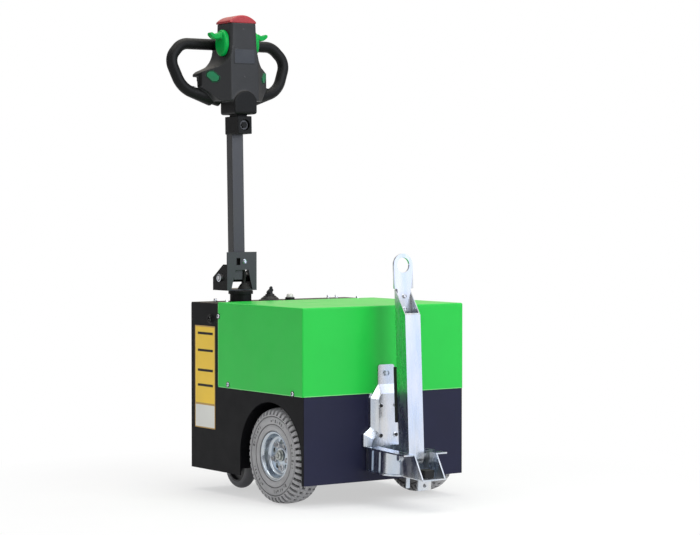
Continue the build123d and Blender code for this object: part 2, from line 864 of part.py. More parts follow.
# Knuckle block between tube and head, with its round recess and the neck plate
knuckle_back = tube_centre_x - tube_depth / 2
knuckle_front = tube_centre_x + tube_depth / 2 + knuckle_reach
knuckle_mid = (knuckle_back + knuckle_front) / 2
with BuildPart() as knuckle:
    with BuildSketch(level(tube_top, knuckle_mid, base=tiller)):
        Rectangle(knuckle_front - knuckle_back, knuckle_width)
    extrude(amount=knuckle_height)
    chamfer(knuckle.edges(), knuckle_chamfer)
    with BuildSketch(facing_front(knuckle_front, z=tube_top + knuckle_height / 2, base=tiller)):
        Circle(knuckle_recess)
    extrude(amount=-recess_depth, mode=Mode.SUBTRACT)
    recess_floor = facing_front(knuckle_front - recess_depth, z=tube_top + knuckle_height / 2, base=tiller)
    with BuildSketch(recess_floor):
        RegularPolygon(recess_bolt_radius, 6)
    extrude(amount=recess_bolt)
    with BuildSketch(level(tube_top + knuckle_height, knuckle_mid, base=tiller)):
        RectangleRounded(neck_plate_depth, neck_plate_width, neck_plate_corner)
    extrude(amount=neck_plate)
knuckle.part.label = "knuckle"
export_step(knuckle.part, "parts/knuckle.step")

# Head boss on the neck plate, with a rounded shield up the front of the housing
with BuildPart() as head_boss:
    with BuildSketch(facing_front(boss_back, base=tiller)):
        with BuildLine():
            Polyline((-boss_half, head_bottom), (-boss_half, boss_bottom), (boss_half, boss_bottom),
                     (boss_half, head_bottom))
            ThreePointArc((boss_half, head_bottom), (0, boss_crown), (-boss_half, head_bottom))
        make_face()
    extrude(amount=boss_front - boss_back)
    with BuildSketch(level(head_bottom, (head_front + boss_back) / 2, base=tiller)):
        Rectangle(head_front - boss_back, 2 * boss_half)
    extrude(amount=boss_crown - head_bottom, mode=Mode.SUBTRACT)
    boss_edges = head_boss.edges().filter_by(Axis(tiller.origin, tiller.z_dir))
    fillet(boss_edges.group_by(Axis.X)[0], 2 * boss_round)
    fillet(head_boss.faces().sort_by(Axis.Z)[0].edges(), boss_round)
head_boss.part.label = "head_boss"
export_step(head_boss.part, "parts/head_boss.step")

# Head housing: a column on two shoulders, whose facets slope back from its front
half_head = head_width / 2
with BuildPart() as head_housing:
    with BuildSketch(level(head_bottom, base=tiller)):
        with BuildLine():
            Polyline(
                (head_front, -facet_y), (head_front, facet_y), (facet_outer_x, facet_outer_y),
                (shoulder_tip_x, shoulder_tip_y),
                (shoulder_back + head_corner, shoulder_tip_y - shoulder_round),
                (shoulder_back, base_corner), (shoulder_back, -base_corner),
                (shoulder_back + head_corner, shoulder_round - shoulder_tip_y),
                (shoulder_tip_x, -shoulder_tip_y),
                (facet_outer_x, -facet_outer_y), close=True,
            )
        make_face()
    extrude(amount=shoulder_neck - head_bottom)
    with BuildSketch(facing_front(shoulder_back - head_corner, base=tiller)):
        with BuildLine():
            for side in (1, -1):
                Line((0, shoulder_neck), (side * half_head, shoulder_neck))
                ThreePointArc((side * half_head, shoulder_neck), (side * shoulder_curve_y, shoulder_curve),
                              (side * shoulder_turn_y, shoulder_turn))
                Polyline((side * shoulder_turn_y, shoulder_turn),
                         (side * shoulder_tip_y, shoulder_tip_high),
                         (side * shoulder_tip_y, shoulder_tip_low),
                         (side * base_half, head_bottom + base_rise), (side * base_corner, head_bottom),
                         (0, head_bottom))
        make_face()
    extrude(amount=head_front - shoulder_back + 2 * head_corner, mode=Mode.INTERSECT)
    column_x = (head_front + head_back) / 2
    with BuildSketch(level(shoulder_tip_low, column_x, base=tiller)):
        RectangleRounded(head_front - head_back, head_waist, head_corner)
    extrude(amount=head_waist_z - shoulder_tip_low)
    with BuildSketch(level(head_waist_z, column_x, base=tiller)):
        RectangleRounded(head_front - head_back, head_waist, head_corner)
    with BuildSketch(level(head_top, column_x, base=tiller)):
        RectangleRounded(head_front - head_back, head_width, head_corner)
    loft()
    for side in (1, -1):
        with BuildSketch(facing_front(shoulder_back + pocket_wall, base=tiller)):
            with BuildLine():
                Polyline((side * (shoulder_tip_y + 1), shoulder_tip_high - pocket_wall),
                         (side * (pocket_inner_y + pocket_slope), shoulder_tip_high - pocket_wall),
                         (side * pocket_inner_y, pocket_low),
                         (side * (shoulder_tip_y + 1), pocket_low), close=True)
            make_face()
        extrude(amount=facet_outer_x - shoulder_back - 2 * pocket_wall, mode=Mode.SUBTRACT)
    with BuildSketch(level(saddle_low, (saddle_back + head_back) / 2 + head_corner, base=tiller)):
        RectangleRounded(head_back - saddle_back + 2 * head_corner, 2 * saddle_half, head_corner)
    extrude(amount=saddle_high - saddle_low)
head_housing.part.label = "head_housing"
export_step(head_housing.part, "parts/head_housing.step")

# Handle loops in a slightly leaning plane, thicker where they leave the housing
loop_base = tilted(tiller, loop_x, loop_upper, loop_lean)
loop_columns = ("inward", "down", "corner")
loop_table = ((35, 0, 48), (0, 37, 40), (0, 62, 40), (27, 131, 70))
loop_rows = [dict(zip(loop_columns, row)) for row in loop_table]
loop_low_y = loop_half - loop_rows[-1]["inward"]
loop_low_drop = loop_rows[-1]["down"]
root_share = (loop_root_y - loop_end_y) / (loop_low_y - loop_end_y)
root_drop = loop_end_drop + root_share * (loop_low_drop - loop_end_drop)
root_taper = math.degrees(math.atan((loop_root_radius - loop_radius + 0.5) / loop_root_length))
for name, side in sides:
    with BuildPart() as loop:
        with BuildLine(facing_front(0, base=loop_base)) as route:
            FilletPolyline(
                (side * loop_start_y, 0),
                *[(side * (loop_half - row["inward"]), -row["down"]) for row in loop_rows],
                (side * loop_end_y, -loop_end_drop), radius=tuple(row["corner"] for row in loop_rows),
            )
        with BuildSketch(facing_right(side * loop_start_y, base=loop_base)):
            Circle(loop_radius)
        sweep(path=route.line)
        root = Plane(origin=(0, side * loop_root_y, -root_drop), x_dir=(1, 0, 0),
                     z_dir=(0, side * (loop_low_y - loop_end_y), loop_end_drop - loop_low_drop))
        with BuildSketch(Plane(loop_base.location * root.location)):
            Circle(loop_root_radius)
        extrude(amount=loop_root_length, taper=root_taper)
        add(head_housing.part, mode=Mode.SUBTRACT)
        add(head_boss.part, mode=Mode.SUBTRACT)
    loop.part.label = f"handle_loop_{name}"
    export_step(loop.part, f"parts/handle_loop_{name}.step")

# Red stop cap on the head's top
with BuildPart() as stop_cap:
    with BuildSketch(facing_front(cap_back, z=head_top, base=tiller)):
        with BuildLine():
            Polyline((-cap_width / 2, cap_side), (-cap_width / 2, 0),
                     (cap_width / 2, 0), (cap_width / 2, cap_side))
            ThreePointArc((cap_width / 2, cap_side), (0, cap_height), (-cap_width / 2, cap_side))
        make_face()
    extrude(amount=cap_front - cap_back)
    fillet(stop_cap.edges().filter_by(GeomType.CIRCLE), cap_round)
stop_cap.part.label = "stop_cap"
export_step(stop_cap.part, "parts/stop_cap.step")

# Plain window panel on the head's front
with BuildPart() as head_window:
    with BuildSketch(facing_front(head_front, z=window_z, base=tiller)):
        RectangleRounded(window_width, window_height, window_corner)
    extrude(amount=window_sheet)
head_window.part.label = "head_window"
export_step(head_window.part, "parts/head_window.step")

# Green speed paddles with their thumb tabs, beside the column
for name, side in sides:
    with BuildPart() as paddle:
        with BuildSketch(facing_right(side * half_head, paddle_x, paddle_z, base=tiller)):
            Ellipse(paddle_width / 2, paddle_height / 2)
        extrude(amount=-side * paddle_sheet)
        fillet(paddle.faces().sort_by(Axis.Y)[-1 if side > 0 else 0].edges(), paddle_round)
        with BuildSketch(facing_front(paddle_x - thumb_depth / 2, base=tiller)):
            with BuildLine():
                Polyline(
                    (side * half_head, thumb_low - thumb_root), (side * half_head, thumb_high),
                    (side * (thumb_tip - thumb_root), thumb_high),
                    (side * thumb_tip, thumb_high - thumb_root),
                    (side * thumb_tip, thumb_low), (side * (thumb_tip - thumb_nose), thumb_low),
                    (side * (half_head + paddle_sheet + paddle_step), thumb_low), close=True,
                )
            make_face()
        extrude(amount=thumb_depth)
        add(head_housing.part, mode=Mode.SUBTRACT)
    paddle.part.label = f"speed_paddle_{name}"
    export_step(paddle.part, f"parts/speed_paddle_{name}.step")

# Deck fittings: main switch, lamp and side socket
with BuildPart() as main_switch:
    with BuildSketch(level(deck_top, steer_x, switch_y)):
        Circle(switch_radius)
    extrude(amount=switch_height, taper=switch_taper)
    with BuildSketch(level(deck_top + switch_height, steer_x, switch_y)):
        Circle(switch_stalk_radius)
    extrude(amount=switch_stalk)
    with BuildSketch(level(deck_top + switch_height + switch_stalk, steer_x, switch_y)):
        RectangleRounded(*switch_grip)
    extrude(amount=switch_stalk)
main_switch.part.label = "main_switch"
export_step(main_switch.part, "parts/main_switch.step")

with BuildPart() as deck_lamp:
    with BuildSketch(level(deck_top, steer_x, lamp_y)):
        Circle(lamp_radius)
    extrude(amount=lamp_base)
    with BuildSketch(level(deck_top + lamp_base, steer_x, lamp_y)):
        Circle(lamp_lens_radius)
    extrude(amount=lamp_height)
deck_lamp.part.label = "deck_lamp"
export_step(deck_lamp.part, "parts/deck_lamp.step")

with BuildPart() as side_socket:
    with BuildSketch(facing_right(-panel_outer, socket_x, socket_z)):
        Circle(socket_radius)
        Circle(socket_radius - socket_wall, mode=Mode.SUBTRACT)
    extrude(amount=socket_reach)
    with BuildSketch(facing_right(-panel_outer, socket_x, socket_z)):
        Circle(socket_radius - socket_wall)
    extrude(amount=socket_floor)
side_socket.part.label = "side_socket"
export_step(side_socket.part, "parts/side_socket.step")

with BuildPart() as side_plate:
    with BuildSketch(facing_right(-panel_outer, plate_x, plate_z)):
        RectangleRounded(plate_width, plate_height, plate_corner)
    extrude(amount=plate_sheet)
side_plate.part.label = "side_plate"
export_step(side_plate.part, "parts/side_plate.step")

# Hitch plate: a pressed web with inclined sides, flared at its foot, with a tab on the cover
jaw_outer = jaw_half + arm_sheet
jaw_seat = half_length + hitch_plate_sheet
jaw_rear = hitch_plate_sheet - arm_height * math.sin(slope)


def mirrored(points):
    """An outline from its right half, listed from the foot up."""
    return points + [(-y, z) for y, z in reversed(points)]


plate_outline = mirrored([(hitch_foot_half, arm_top), (hitch_foot_half, hitch_foot_z),
                          (hitch_plate_half, hitch_flare_top), (hitch_plate_half, hitch_web_top),
                          (hitch_tab_half, hitch_fold_top)])
web_outline = mirrored([(hitch_foot_web_half, arm_top),
                        (hitch_foot_web_half - hitch_foot_slope, hitch_web_foot_z - 2 * hitch_web_slope),
                        (hitch_web_half, hitch_web_foot_z + 2 * hitch_web_slope),
                        (hitch_web_half, hitch_web_top - hitch_web_slope),
                        (hitch_tab_half - hitch_web_slope, hitch_fold_web_z)])
with BuildPart() as hitch_plate:
    with BuildSketch(facing_front(end_outer, z=(hitch_plate_low + cover_bottom) / 2)):
        Rectangle(2 * hitch_plate_half, cover_bottom - hitch_plate_low)
    extrude(amount=cover_sheet)
    with BuildSketch(facing_front(half_length)):
        Polygon(*plate_outline, align=None)
        with Locations((0, (hitch_fold_web_z + hitch_tab_top) / 2)):
            RectangleRounded(2 * hitch_tab_half, hitch_tab_top - hitch_fold_web_z, hitch_tab_corner)
        with Locations((0, (hitch_plate_low + hitch_web_foot_z) / 2)):
            Rectangle(2 * gusset_half, hitch_web_foot_z - hitch_plate_low)
    extrude(amount=hitch_plate_sheet)
    with BuildSketch(facing_front(jaw_seat)):
        Polygon(*plate_outline, align=None)
    with BuildSketch(facing_front(jaw_seat + hitch_press)):
        Polygon(*web_outline, align=None)
    loft(ruled=True)
hitch_plate.part.label = "hitch_plate"
export_step(hitch_plate.part, "parts/hitch_plate.step")

# Jaw: a hat channel that slopes down from the hitch plate
with BuildPart() as tow_jaw:
    for side in (1, -1):
        with BuildSketch(facing_right(side * (jaw_half + arm_sheet / 2), base=arm)):
            with BuildLine():
                Polyline((jaw_rear, 0), (jaw_top_length, 0), (jaw_bottom_length, -arm_height),
                         (jaw_rear, -arm_height), close=True)
            make_face()
        extrude(amount=arm_sheet / 2, both=True)
        with BuildSketch(level(-arm_sheet, (jaw_rear + jaw_top_length) / 2,
                               side * (jaw_half + (jaw_flange + arm_sheet) / 2), base=arm)):
            Rectangle(jaw_top_length - jaw_rear, jaw_flange + arm_sheet)
        extrude(amount=arm_sheet)
    with BuildSketch(level(-arm_height, (jaw_rear + jaw_bottom_length) / 2, base=arm)):
        Rectangle(jaw_bottom_length - jaw_rear, 2 * jaw_outer)
    extrude(amount=arm_sheet)
    bottom_face = tow_jaw.faces().sort_by(Axis(arm.origin, arm.z_dir))[0]
    fillet(bottom_face.edges().filter_by(Axis(arm.origin, arm.x_dir)), arm_bend)
    with BuildSketch(facing_front(eyelet_x, base=arm)):
        with Locations((0, -arm_height - eyelet_drop / 2)):
            Rectangle(2 * eyelet_half, eyelet_drop)
        with Locations((0, -arm_height - eyelet_drop / 2 - eyelet_hole_drop)):
            Circle(eyelet_hole, mode=Mode.SUBTRACT)
    extrude(amount=eyelet_sheet)
    with BuildSketch(facing_front(lug_x, base=arm)):
        with Locations((lug_y, -arm_height - lug_drop / 2)):
            Rectangle(lug_width, lug_drop)
    extrude(amount=arm_sheet)
    with BuildSketch(facing_right(0, half_length + bar_pivot_x, bar_pivot_z)):
        Circle(bar_pin_radius + fit_gap)
    extrude(amount=jaw_outer, both=True, mode=Mode.SUBTRACT)
    split(bisect_by=facing_front(jaw_seat), keep=Keep.TOP)
tow_jaw.part.label = "tow_jaw"
export_step(tow_jaw.part, "parts/tow_jaw.step")


def gusset_plan(side, grow, back):
    """Plan of a gusset beside the channel: straight, then rounded in towards the channel."""
    outer = side * (gusset_half - jaw_outer + grow)
    tip = gusset_length + grow
    Line((back, 0), (back, outer))
    Line((back, outer), (gusset_straight, outer))
    ThreePointArc((gusset_straight, outer),
                  (gusset_straight + gusset_turn * (tip - gusset_straight), gusset_turn * outer), (tip, 0))
    Line((tip, 0), (back, 0))


# Gussets beside the channel: curved walls on a floor with a lip, stiffened by ribs
with BuildPart() as hitch_gussets:
    for side in (1, -1):
        with BuildSketch(level(-arm_height, jaw_rear, side * jaw_outer, base=arm)):
            with BuildLine():
                gusset_plan(side, 0, 0)
            make_face()
        extrude(amount=arm_height - arm_sheet)
        with BuildSketch(level(-arm_height, jaw_rear, side * jaw_outer, base=arm)):
            with BuildLine():
                gusset_plan(side, gusset_lip, 0)
            make_face()
        extrude(amount=gusset_wall)
        with BuildSketch(level(-arm_height + gusset_wall, jaw_rear, side * jaw_outer, base=arm)):
            with BuildLine():
                gusset_plan(side, -gusset_wall, -1)
            make_face()
        extrude(amount=arm_height, mode=Mode.SUBTRACT)
        for rib_x in gusset_ribs:
            with BuildSketch(level(-arm_height, jaw_rear + rib_x, side * (gusset_half + gusset_lip / 4),
                                   base=arm)):
                Rectangle(gusset_wall, gusset_lip / 2)
            extrude(amount=arm_height - 2 * arm_sheet)
    split(bisect_by=facing_front(jaw_seat), keep=Keep.TOP)
hitch_gussets.part.label = "hitch_gussets"
export_step(hitch_gussets.part, "parts/hitch_gussets.step")

# Rubber block in the jaw
with BuildPart() as jaw_block:
    with BuildSketch(level(arm_sheet - arm_height, jaw_bottom_length - block_setback - block_length / 2,
                           base=arm)):
        Rectangle(block_length, block_width)
    extrude(amount=block_height)
    fillet(jaw_block.edges().filter_by(Axis(arm.origin, arm.z_dir)), block_corner)
jaw_block.part.label = "jaw_block"
export_step(jaw_block.part, "parts/jaw_block.step")

# Hinge pin of the drawbar and the rod it leans on
with BuildPart() as drawbar_pins:
    with BuildSketch(facing_right(0, half_length + bar_pivot_x, bar_pivot_z)):
        Circle(bar_pin_radius)
    extrude(amount=jaw_outer, both=True)
    stop_rod_x = -bar_depth / 2 - stop_rod_radius - seat_gap
    with BuildSketch(facing_right(0, stop_rod_x, stop_rod_height, base=bar)):
        Circle(stop_rod_radius)
    extrude(amount=jaw_half, both=True)
drawbar_pins.part.label = "drawbar_pins"
export_step(drawbar_pins.part, "parts/drawbar_pins.step")

# Drawbar: a square tube with a rounded foot and an open, tapered top
with BuildPart() as drawbar:
    with BuildSketch(facing_right(0, base=bar)):
        with BuildLine():
            Polyline((-bar_depth / 2, 0), (bar_depth / 2, 0), (bar_depth / 2, bar_front_top),
                     (bar_wall - bar_depth / 2, bar_back_top), (-bar_depth / 2, bar_back_top), close=True)
        make_face()
        Circle(bar_depth / 2)
    extrude(amount=bar_width / 2, both=True)
    with BuildSketch(level(bar_foot_solid, base=bar)):
        Rectangle(bar_depth - 2 * bar_wall, bar_width - 2 * bar_wall)
    extrude(amount=bar_back_top, mode=Mode.SUBTRACT)
    with BuildSketch(facing_right(0, base=bar)):
        Circle(bar_pin_radius + fit_gap)
    extrude(amount=bar_width, both=True, mode=Mode.SUBTRACT)
drawbar.part.label = "drawbar"
export_step(drawbar.part, "parts/drawbar.step")

# Towing eye: a strap bolted inside the drawbar's back wall
strap_back = bar_wall - bar_depth / 2
with BuildPart() as tow_eye:
    with BuildSketch(facing_front(strap_back, base=bar)):
        with Locations((0, (strap_bottom + eye_height) / 2)):
            Rectangle(strap_width, eye_height - strap_bottom)
        with Locations((0, eye_height)):
            Circle(eye_ring_radius)
            Circle(eye_radius, mode=Mode.SUBTRACT)
    extrude(amount=strap_sheet)
tow_eye.part.label = "tow_eye"
export_step(tow_eye.part, "parts/tow_eye.step")
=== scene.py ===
import json
import math

import bmesh
import bpy
from mathutils import Matrix, Vector
from mathutils.bvhtree import BVHTree


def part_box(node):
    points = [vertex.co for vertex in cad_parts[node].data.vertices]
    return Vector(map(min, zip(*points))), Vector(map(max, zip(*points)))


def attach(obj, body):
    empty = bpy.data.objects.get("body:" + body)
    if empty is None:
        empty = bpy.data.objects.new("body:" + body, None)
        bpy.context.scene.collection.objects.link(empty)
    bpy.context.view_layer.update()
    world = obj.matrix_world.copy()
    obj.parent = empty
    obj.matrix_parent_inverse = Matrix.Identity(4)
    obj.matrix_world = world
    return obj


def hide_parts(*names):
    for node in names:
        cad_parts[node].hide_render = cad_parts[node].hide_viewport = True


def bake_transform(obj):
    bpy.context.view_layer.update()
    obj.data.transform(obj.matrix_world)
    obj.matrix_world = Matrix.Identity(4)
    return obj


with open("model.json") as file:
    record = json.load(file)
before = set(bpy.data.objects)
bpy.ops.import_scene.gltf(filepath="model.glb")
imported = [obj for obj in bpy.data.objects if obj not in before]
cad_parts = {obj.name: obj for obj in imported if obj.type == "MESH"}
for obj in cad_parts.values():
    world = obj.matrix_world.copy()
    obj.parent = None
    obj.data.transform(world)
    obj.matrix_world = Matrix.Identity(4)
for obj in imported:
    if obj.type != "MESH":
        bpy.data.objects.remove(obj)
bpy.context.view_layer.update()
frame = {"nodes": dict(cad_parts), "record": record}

# Sizes and places of the CAD model, in millimetres and degrees
MM = 0.001
HALF_LENGTH = 282.5
COVER_FACE = 268
PANEL_FACE = 266
DECK_TOP = 530
WHEEL_X, WHEEL_Y, WHEEL_Z = 137, 225.5, 130
COLUMN_X, COLUMN_Y = -209, -147
PIVOT_X, PIVOT_Z, PIVOT_LEAN = -27, 598, 1.35
HINGE_X, HINGE_Z, BAR_LEAN = 403, 135, 2.7
NODES = frame["nodes"]


def moved(base, x, y, z, tilt=0.0):
    """A frame at x, y, z of a base, its top leaning to -X by tilt degrees."""
    turn = Matrix.Rotation(math.radians(-tilt), 4, "Y")
    return base @ Matrix.Translation((x * MM, y * MM, z * MM)) @ turn


# Frames that the pieces below are drawn in
hood_lo, hood_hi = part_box("hood")
BODY = Matrix.Translation((hood_hi.x - HALF_LENGTH * MM, (hood_lo.y + hood_hi.y) / 2, 0))
STEER = moved(BODY, COLUMN_X, COLUMN_Y, 0)
TILLER = moved(STEER, PIVOT_X, 0, PIVOT_Z, PIVOT_LEAN)
BAR = moved(BODY, HINGE_X, 0, HINGE_Z, BAR_LEAN)


# Material building

def node(tree, kind, **values):
    """A new shader node with its inputs and properties set."""
    made = tree.nodes.new(kind)
    for key, value in values.items():
        if key in made.inputs:
            made.inputs[key].default_value = value
        else:
            setattr(made, key, value)
    return made


def noise(tree, scale, detail=4.0, stretch=(1, 1, 1)):
    """Noise in the object's own coordinates, in metres."""
    where = node(tree, "ShaderNodeTexCoord")
    mapping = node(tree, "ShaderNodeMapping", Scale=stretch)
    made = node(tree, "ShaderNodeTexNoise", Scale=scale, Detail=detail, Roughness=0.55)
    tree.links.new(where.outputs["Object"], mapping.inputs["Vector"])
    tree.links.new(mapping.outputs["Vector"], made.inputs["Vector"])
    return made.outputs["Fac"]


def spread(tree, value, low, high, start=0.3, end=0.7):
    """Maps a value from start..end to low..high."""
    limits = {"From Min": start, "From Max": end, "To Min": low, "To Max": high}
    made = node(tree, "ShaderNodeMapRange", **limits)
    tree.links.new(value, made.inputs["Value"])
    return made.outputs["Result"]


def mixed(tree, factor, first, second):
    """A colour between two colours or sockets, by the value of a socket."""
    made = node(tree, "ShaderNodeMix", data_type="RGBA")
    tree.links.new(factor, made.inputs["Factor"])
    for socket, colour in ((made.inputs["A"], first), (made.inputs["B"], second)):
        if isinstance(colour, tuple):
            socket.default_value = (*colour, 1)
        else:
            tree.links.new(colour, socket)
    return made.outputs["Result"]


def add_bump(tree, shader, height, strength, distance=0.0004):
    """Puts a bump over the normal that a shader has."""
    bump = node(tree, "ShaderNodeBump", Strength=strength, Distance=distance)
    tree.links.new(height, bump.inputs["Height"])
    if shader.inputs["Normal"].links:
        tree.links.new(shader.inputs["Normal"].links[0].from_socket, bump.inputs["Normal"])
    tree.links.new(bump.outputs["Normal"], shader.inputs["Normal"])


def surface(name, colour, roughness, metallic=0.0, mottle=0.1, mottle_scale=7, grain=0.0, grain_scale=900,
            stretch=(1, 1, 1), specular=0.5, coat=0.0):
    """A finish with slow colour changes, uneven gloss and a fine grain."""
    made = bpy.data.materials.new(name)
    made.use_nodes = True
    tree = made.node_tree
    shader = tree.nodes["Principled BSDF"]
    shader.inputs["Metallic"].default_value = metallic
    shader.inputs["Specular IOR Level"].default_value = specular
    shader.inputs["Coat Weight"].default_value = coat
    shader.inputs["Coat Roughness"].default_value = 0.12
    dark = tuple(c * (1 - mottle) for c in colour)
    light = tuple(min(1, c * (1 + mottle)) for c in colour)
    patches = spread(tree, noise(tree, mottle_scale, 5, stretch), 0.0, 1.0)
    tree.links.new(mixed(tree, patches, dark, light), shader.inputs["Base Color"])
    gloss = spread(tree, noise(tree, 22, 6, stretch), roughness - 0.06, roughness + 0.06)
    tree.links.new(gloss, shader.inputs["Roughness"])
    if grain:
        add_bump(tree, shader, noise(tree, grain_scale, 3), grain)
    return made


def zinc(name, tint=(0.62, 0.65, 0.69), roughness=0.24, stretch=(1, 1, 0.25)):
    """Bright zinc plate: cloudy, slightly blue, with fine brushing."""
    made = bpy.data.materials.new(name)
    made.use_nodes = True
    tree = made.node_tree
    shader = tree.nodes["Principled BSDF"]
    shader.inputs["Metallic"].default_value = 1.0
    warm = (tint[0] * 1.06, tint[1] * 1.02, tint[2] * 0.97)
    cool = (tint[0] * 0.84, tint[1] * 0.9, tint[2] * 0.98)
    cloud = spread(tree, noise(tree, 26, 5, stretch), 0.0, 1.0, 0.35, 0.65)
    tree.links.new(mixed(tree, cloud, cool, warm), shader.inputs["Base Color"])
    gloss = spread(tree, noise(tree, 60, 6, (1, 1, 0.2)), roughness - 0.09, roughness + 0.13)
    tree.links.new(gloss, shader.inputs["Roughness"])
    add_bump(tree, shader, noise(tree, 500, 3, (1, 1, 0.06)), 0.12)
    return made


# Side wall of the tyre, in metres from the axle: the ribbed band, and dark lines in its grooves, painted
# shade and grime, with their half widths
RIBBED_FROM, RIBBED_TO = 0.0915, 0.1025
SHADE_AND_GRIME_LINES = ((0.0852, 0.0014), (0.1067, 0.0013), (0.0674, 0.0012))
RIB_WAVES, ARC_WAVES, ARC_START = 150, 3, 0.35


def tyre_rubber(name, side):
    """Grey rubber with dark lines in the grooves, painted shade and grime, and hatched arcs on the side wall.
    """
    made = surface(name, (0.35, 0.345, 0.355), 0.42, mottle=0.16, mottle_scale=14, grain=0.5, grain_scale=700,
                   specular=0.55)
    tree = made.node_tree
    shader = tree.nodes["Principled BSDF"]

    def maths(operation, first, second=0.0):
        step = node(tree, "ShaderNodeMath", operation=operation)
        for socket, value in zip(step.inputs, (first, second)):
            if isinstance(value, (int, float)):
                socket.default_value = value
            else:
                tree.links.new(value, socket)
        return step.outputs["Value"]

    where = node(tree, "ShaderNodeTexCoord")
    shift = node(tree, "ShaderNodeVectorMath", operation="SUBTRACT")
    shift.inputs[1].default_value = BODY @ Vector((WHEEL_X * MM, side * WHEEL_Y * MM, WHEEL_Z * MM))
    tree.links.new(where.outputs["Object"], shift.inputs[0])
    split = node(tree, "ShaderNodeSeparateXYZ")
    tree.links.new(shift.outputs["Vector"], split.inputs["Vector"])
    x, z = split.outputs["X"], split.outputs["Z"]
    radius = maths("SQRT", maths("ADD", maths("MULTIPLY", x, x), maths("MULTIPLY", z, z)))
    angle = maths("ARCTAN2", z, x)

    # Painted shade and grime: the rubber turns near black along the groove lines
    shade_and_grime = 0.0
    for line_radius, line_half in SHADE_AND_GRIME_LINES:
        off = maths("ABSOLUTE", maths("SUBTRACT", radius, line_radius))
        shade_and_grime = maths("MAXIMUM", shade_and_grime, maths("LESS_THAN", off, line_half))
    clean = shader.inputs["Base Color"].links[0].from_socket
    shaded_and_grimy = mixed(tree, maths("MULTIPLY", shade_and_grime, 0.75), clean, (0.05, 0.05, 0.05))
    tree.links.new(shaded_and_grimy, shader.inputs["Base Color"])

    ribs = maths("SINE", maths("MULTIPLY", angle, RIB_WAVES))
    arcs = maths("GREATER_THAN", maths("SINE", maths("MULTIPLY", angle, ARC_WAVES)), ARC_START)
    above, below = maths("GREATER_THAN", radius, RIBBED_FROM), maths("LESS_THAN", radius, RIBBED_TO)
    band = maths("MULTIPLY", above, below)
    add_bump(tree, shader, maths("MULTIPLY", maths("MULTIPLY", ribs, arcs), band), 0.7, 0.0006)
    return made


# Paint and plating
GREEN = surface("green_paint", (0.014, 0.535, 0.057), 0.34, mottle=0.03, grain=0.10, grain_scale=450,
                specular=0.34)
# Lighter green for strips on the cover's folded edges: a painted highlight
EDGE_HIGHLIGHT = surface("edge_highlight_green", (0.22, 0.74, 0.24), 0.4, mottle=0.03, grain=0.05)
BLACK = surface("black_paint", (0.0062, 0.0063, 0.0075), 0.42, mottle=0.15, grain=0.10, grain_scale=450,
                specular=0.08)
# The body's black paint with a painted blue reflection, for the hitch end panel
BLUE_REFLECTION_BLACK = surface("black_paint_blue_reflection", (0.007, 0.008, 0.030), 0.44, mottle=0.12, grain=0.10, grain_scale=450,
               specular=0.25)
TUBE = surface("tube_paint", (0.010, 0.010, 0.012), 0.36, mottle=0.15, grain=0.12, grain_scale=500,
               specular=0.66)
CASTING = surface("axle_casting", (0.03, 0.03, 0.032), 0.6, mottle=0.25, grain=0.5, grain_scale=350)
ZINC = zinc("zinc_plate")
RIM_ZINC = zinc("rim_zinc", (0.50, 0.54, 0.58), 0.14, (1, 1, 1))
DULL_ZINC = surface("dull_zinc", (0.42, 0.44, 0.42), 0.34, 1.0, mottle=0.25, mottle_scale=60)
STEEL = surface("bright_steel", (0.60, 0.60, 0.61), 0.3, 1.0, grain=0.1, stretch=(1, 4, 1))

# Rubber
TREAD = surface("grey_tread", (0.20, 0.20, 0.21), 0.6, mottle=0.12, mottle_scale=18, grain=0.3, specular=0.4)
# Darker rubber for the floors of the tyre's grooves: painted shade and grime
GROOVE_SHADE_AND_GRIME = surface("tyre_groove_shade_and_grime", (0.075, 0.073, 0.072), 0.65, mottle=0.12, mottle_scale=18, grain=0.3,
                 specular=0.2)
MARKS = surface("tyre_marks", (0.12, 0.12, 0.12), 0.6, mottle=0.12, mottle_scale=18, grain=0.3, specular=0.3)
RUBBER = surface("black_rubber", (0.012, 0.012, 0.012), 0.75, mottle=0.2, grain=0.5, grain_scale=800,
                 specular=0.3)

# Plastic, and the printed plate
HEAD = surface("head_plastic", (0.0165, 0.017, 0.0185), 0.5, mottle=0.08, grain=0.35, grain_scale=1400,
               specular=0.28)
GRIP = surface("grip_plastic", (0.0065, 0.0067, 0.007), 0.46, mottle=0.1, grain=0.35, grain_scale=1400,
               specular=0.12)
WINDOW = surface("window_plastic", (0.018, 0.020, 0.022), 0.2, mottle=0.06, grain=0.05, specular=0.4)
RED = surface("red_plastic", (0.34, 0.012, 0.018), 0.34, mottle=0.1, grain=0.12, specular=0.4)
WING = surface("green_plastic", (0.0, 0.33, 0.055), 0.4, mottle=0.06, grain=0.1, specular=0.15)
KEY = surface("key_green", (0.0, 0.15, 0.055), 0.4, mottle=0.06, grain=0.1)
CORE = surface("core_plastic", (0.022, 0.022, 0.024), 0.5, grain=0.2)
BATTERY = surface("battery_case", (0.035, 0.035, 0.04), 0.5, grain=0.2)
PLASTIC = surface("black_plastic", (0.008, 0.008, 0.009), 0.45, grain=0.2, specular=0.2)
CLEAR = surface("lamp_clear", (0.62, 0.62, 0.58), 0.2, coat=0.4)
DARK = surface("dark_gap", (0.006, 0.006, 0.007), 0.8, specular=0.2)
YELLOW = surface("plate_yellow", (0.90, 0.60, 0.06), 0.4, mottle=0.05, grain=0.04, specular=0.3)
TAN = surface("plate_tan", (0.50, 0.31, 0.09), 0.4, mottle=0.05, grain=0.04, specular=0.3)
WHITE = surface("plate_white", (0.74, 0.74, 0.70), 0.4, mottle=0.04, grain=0.04)

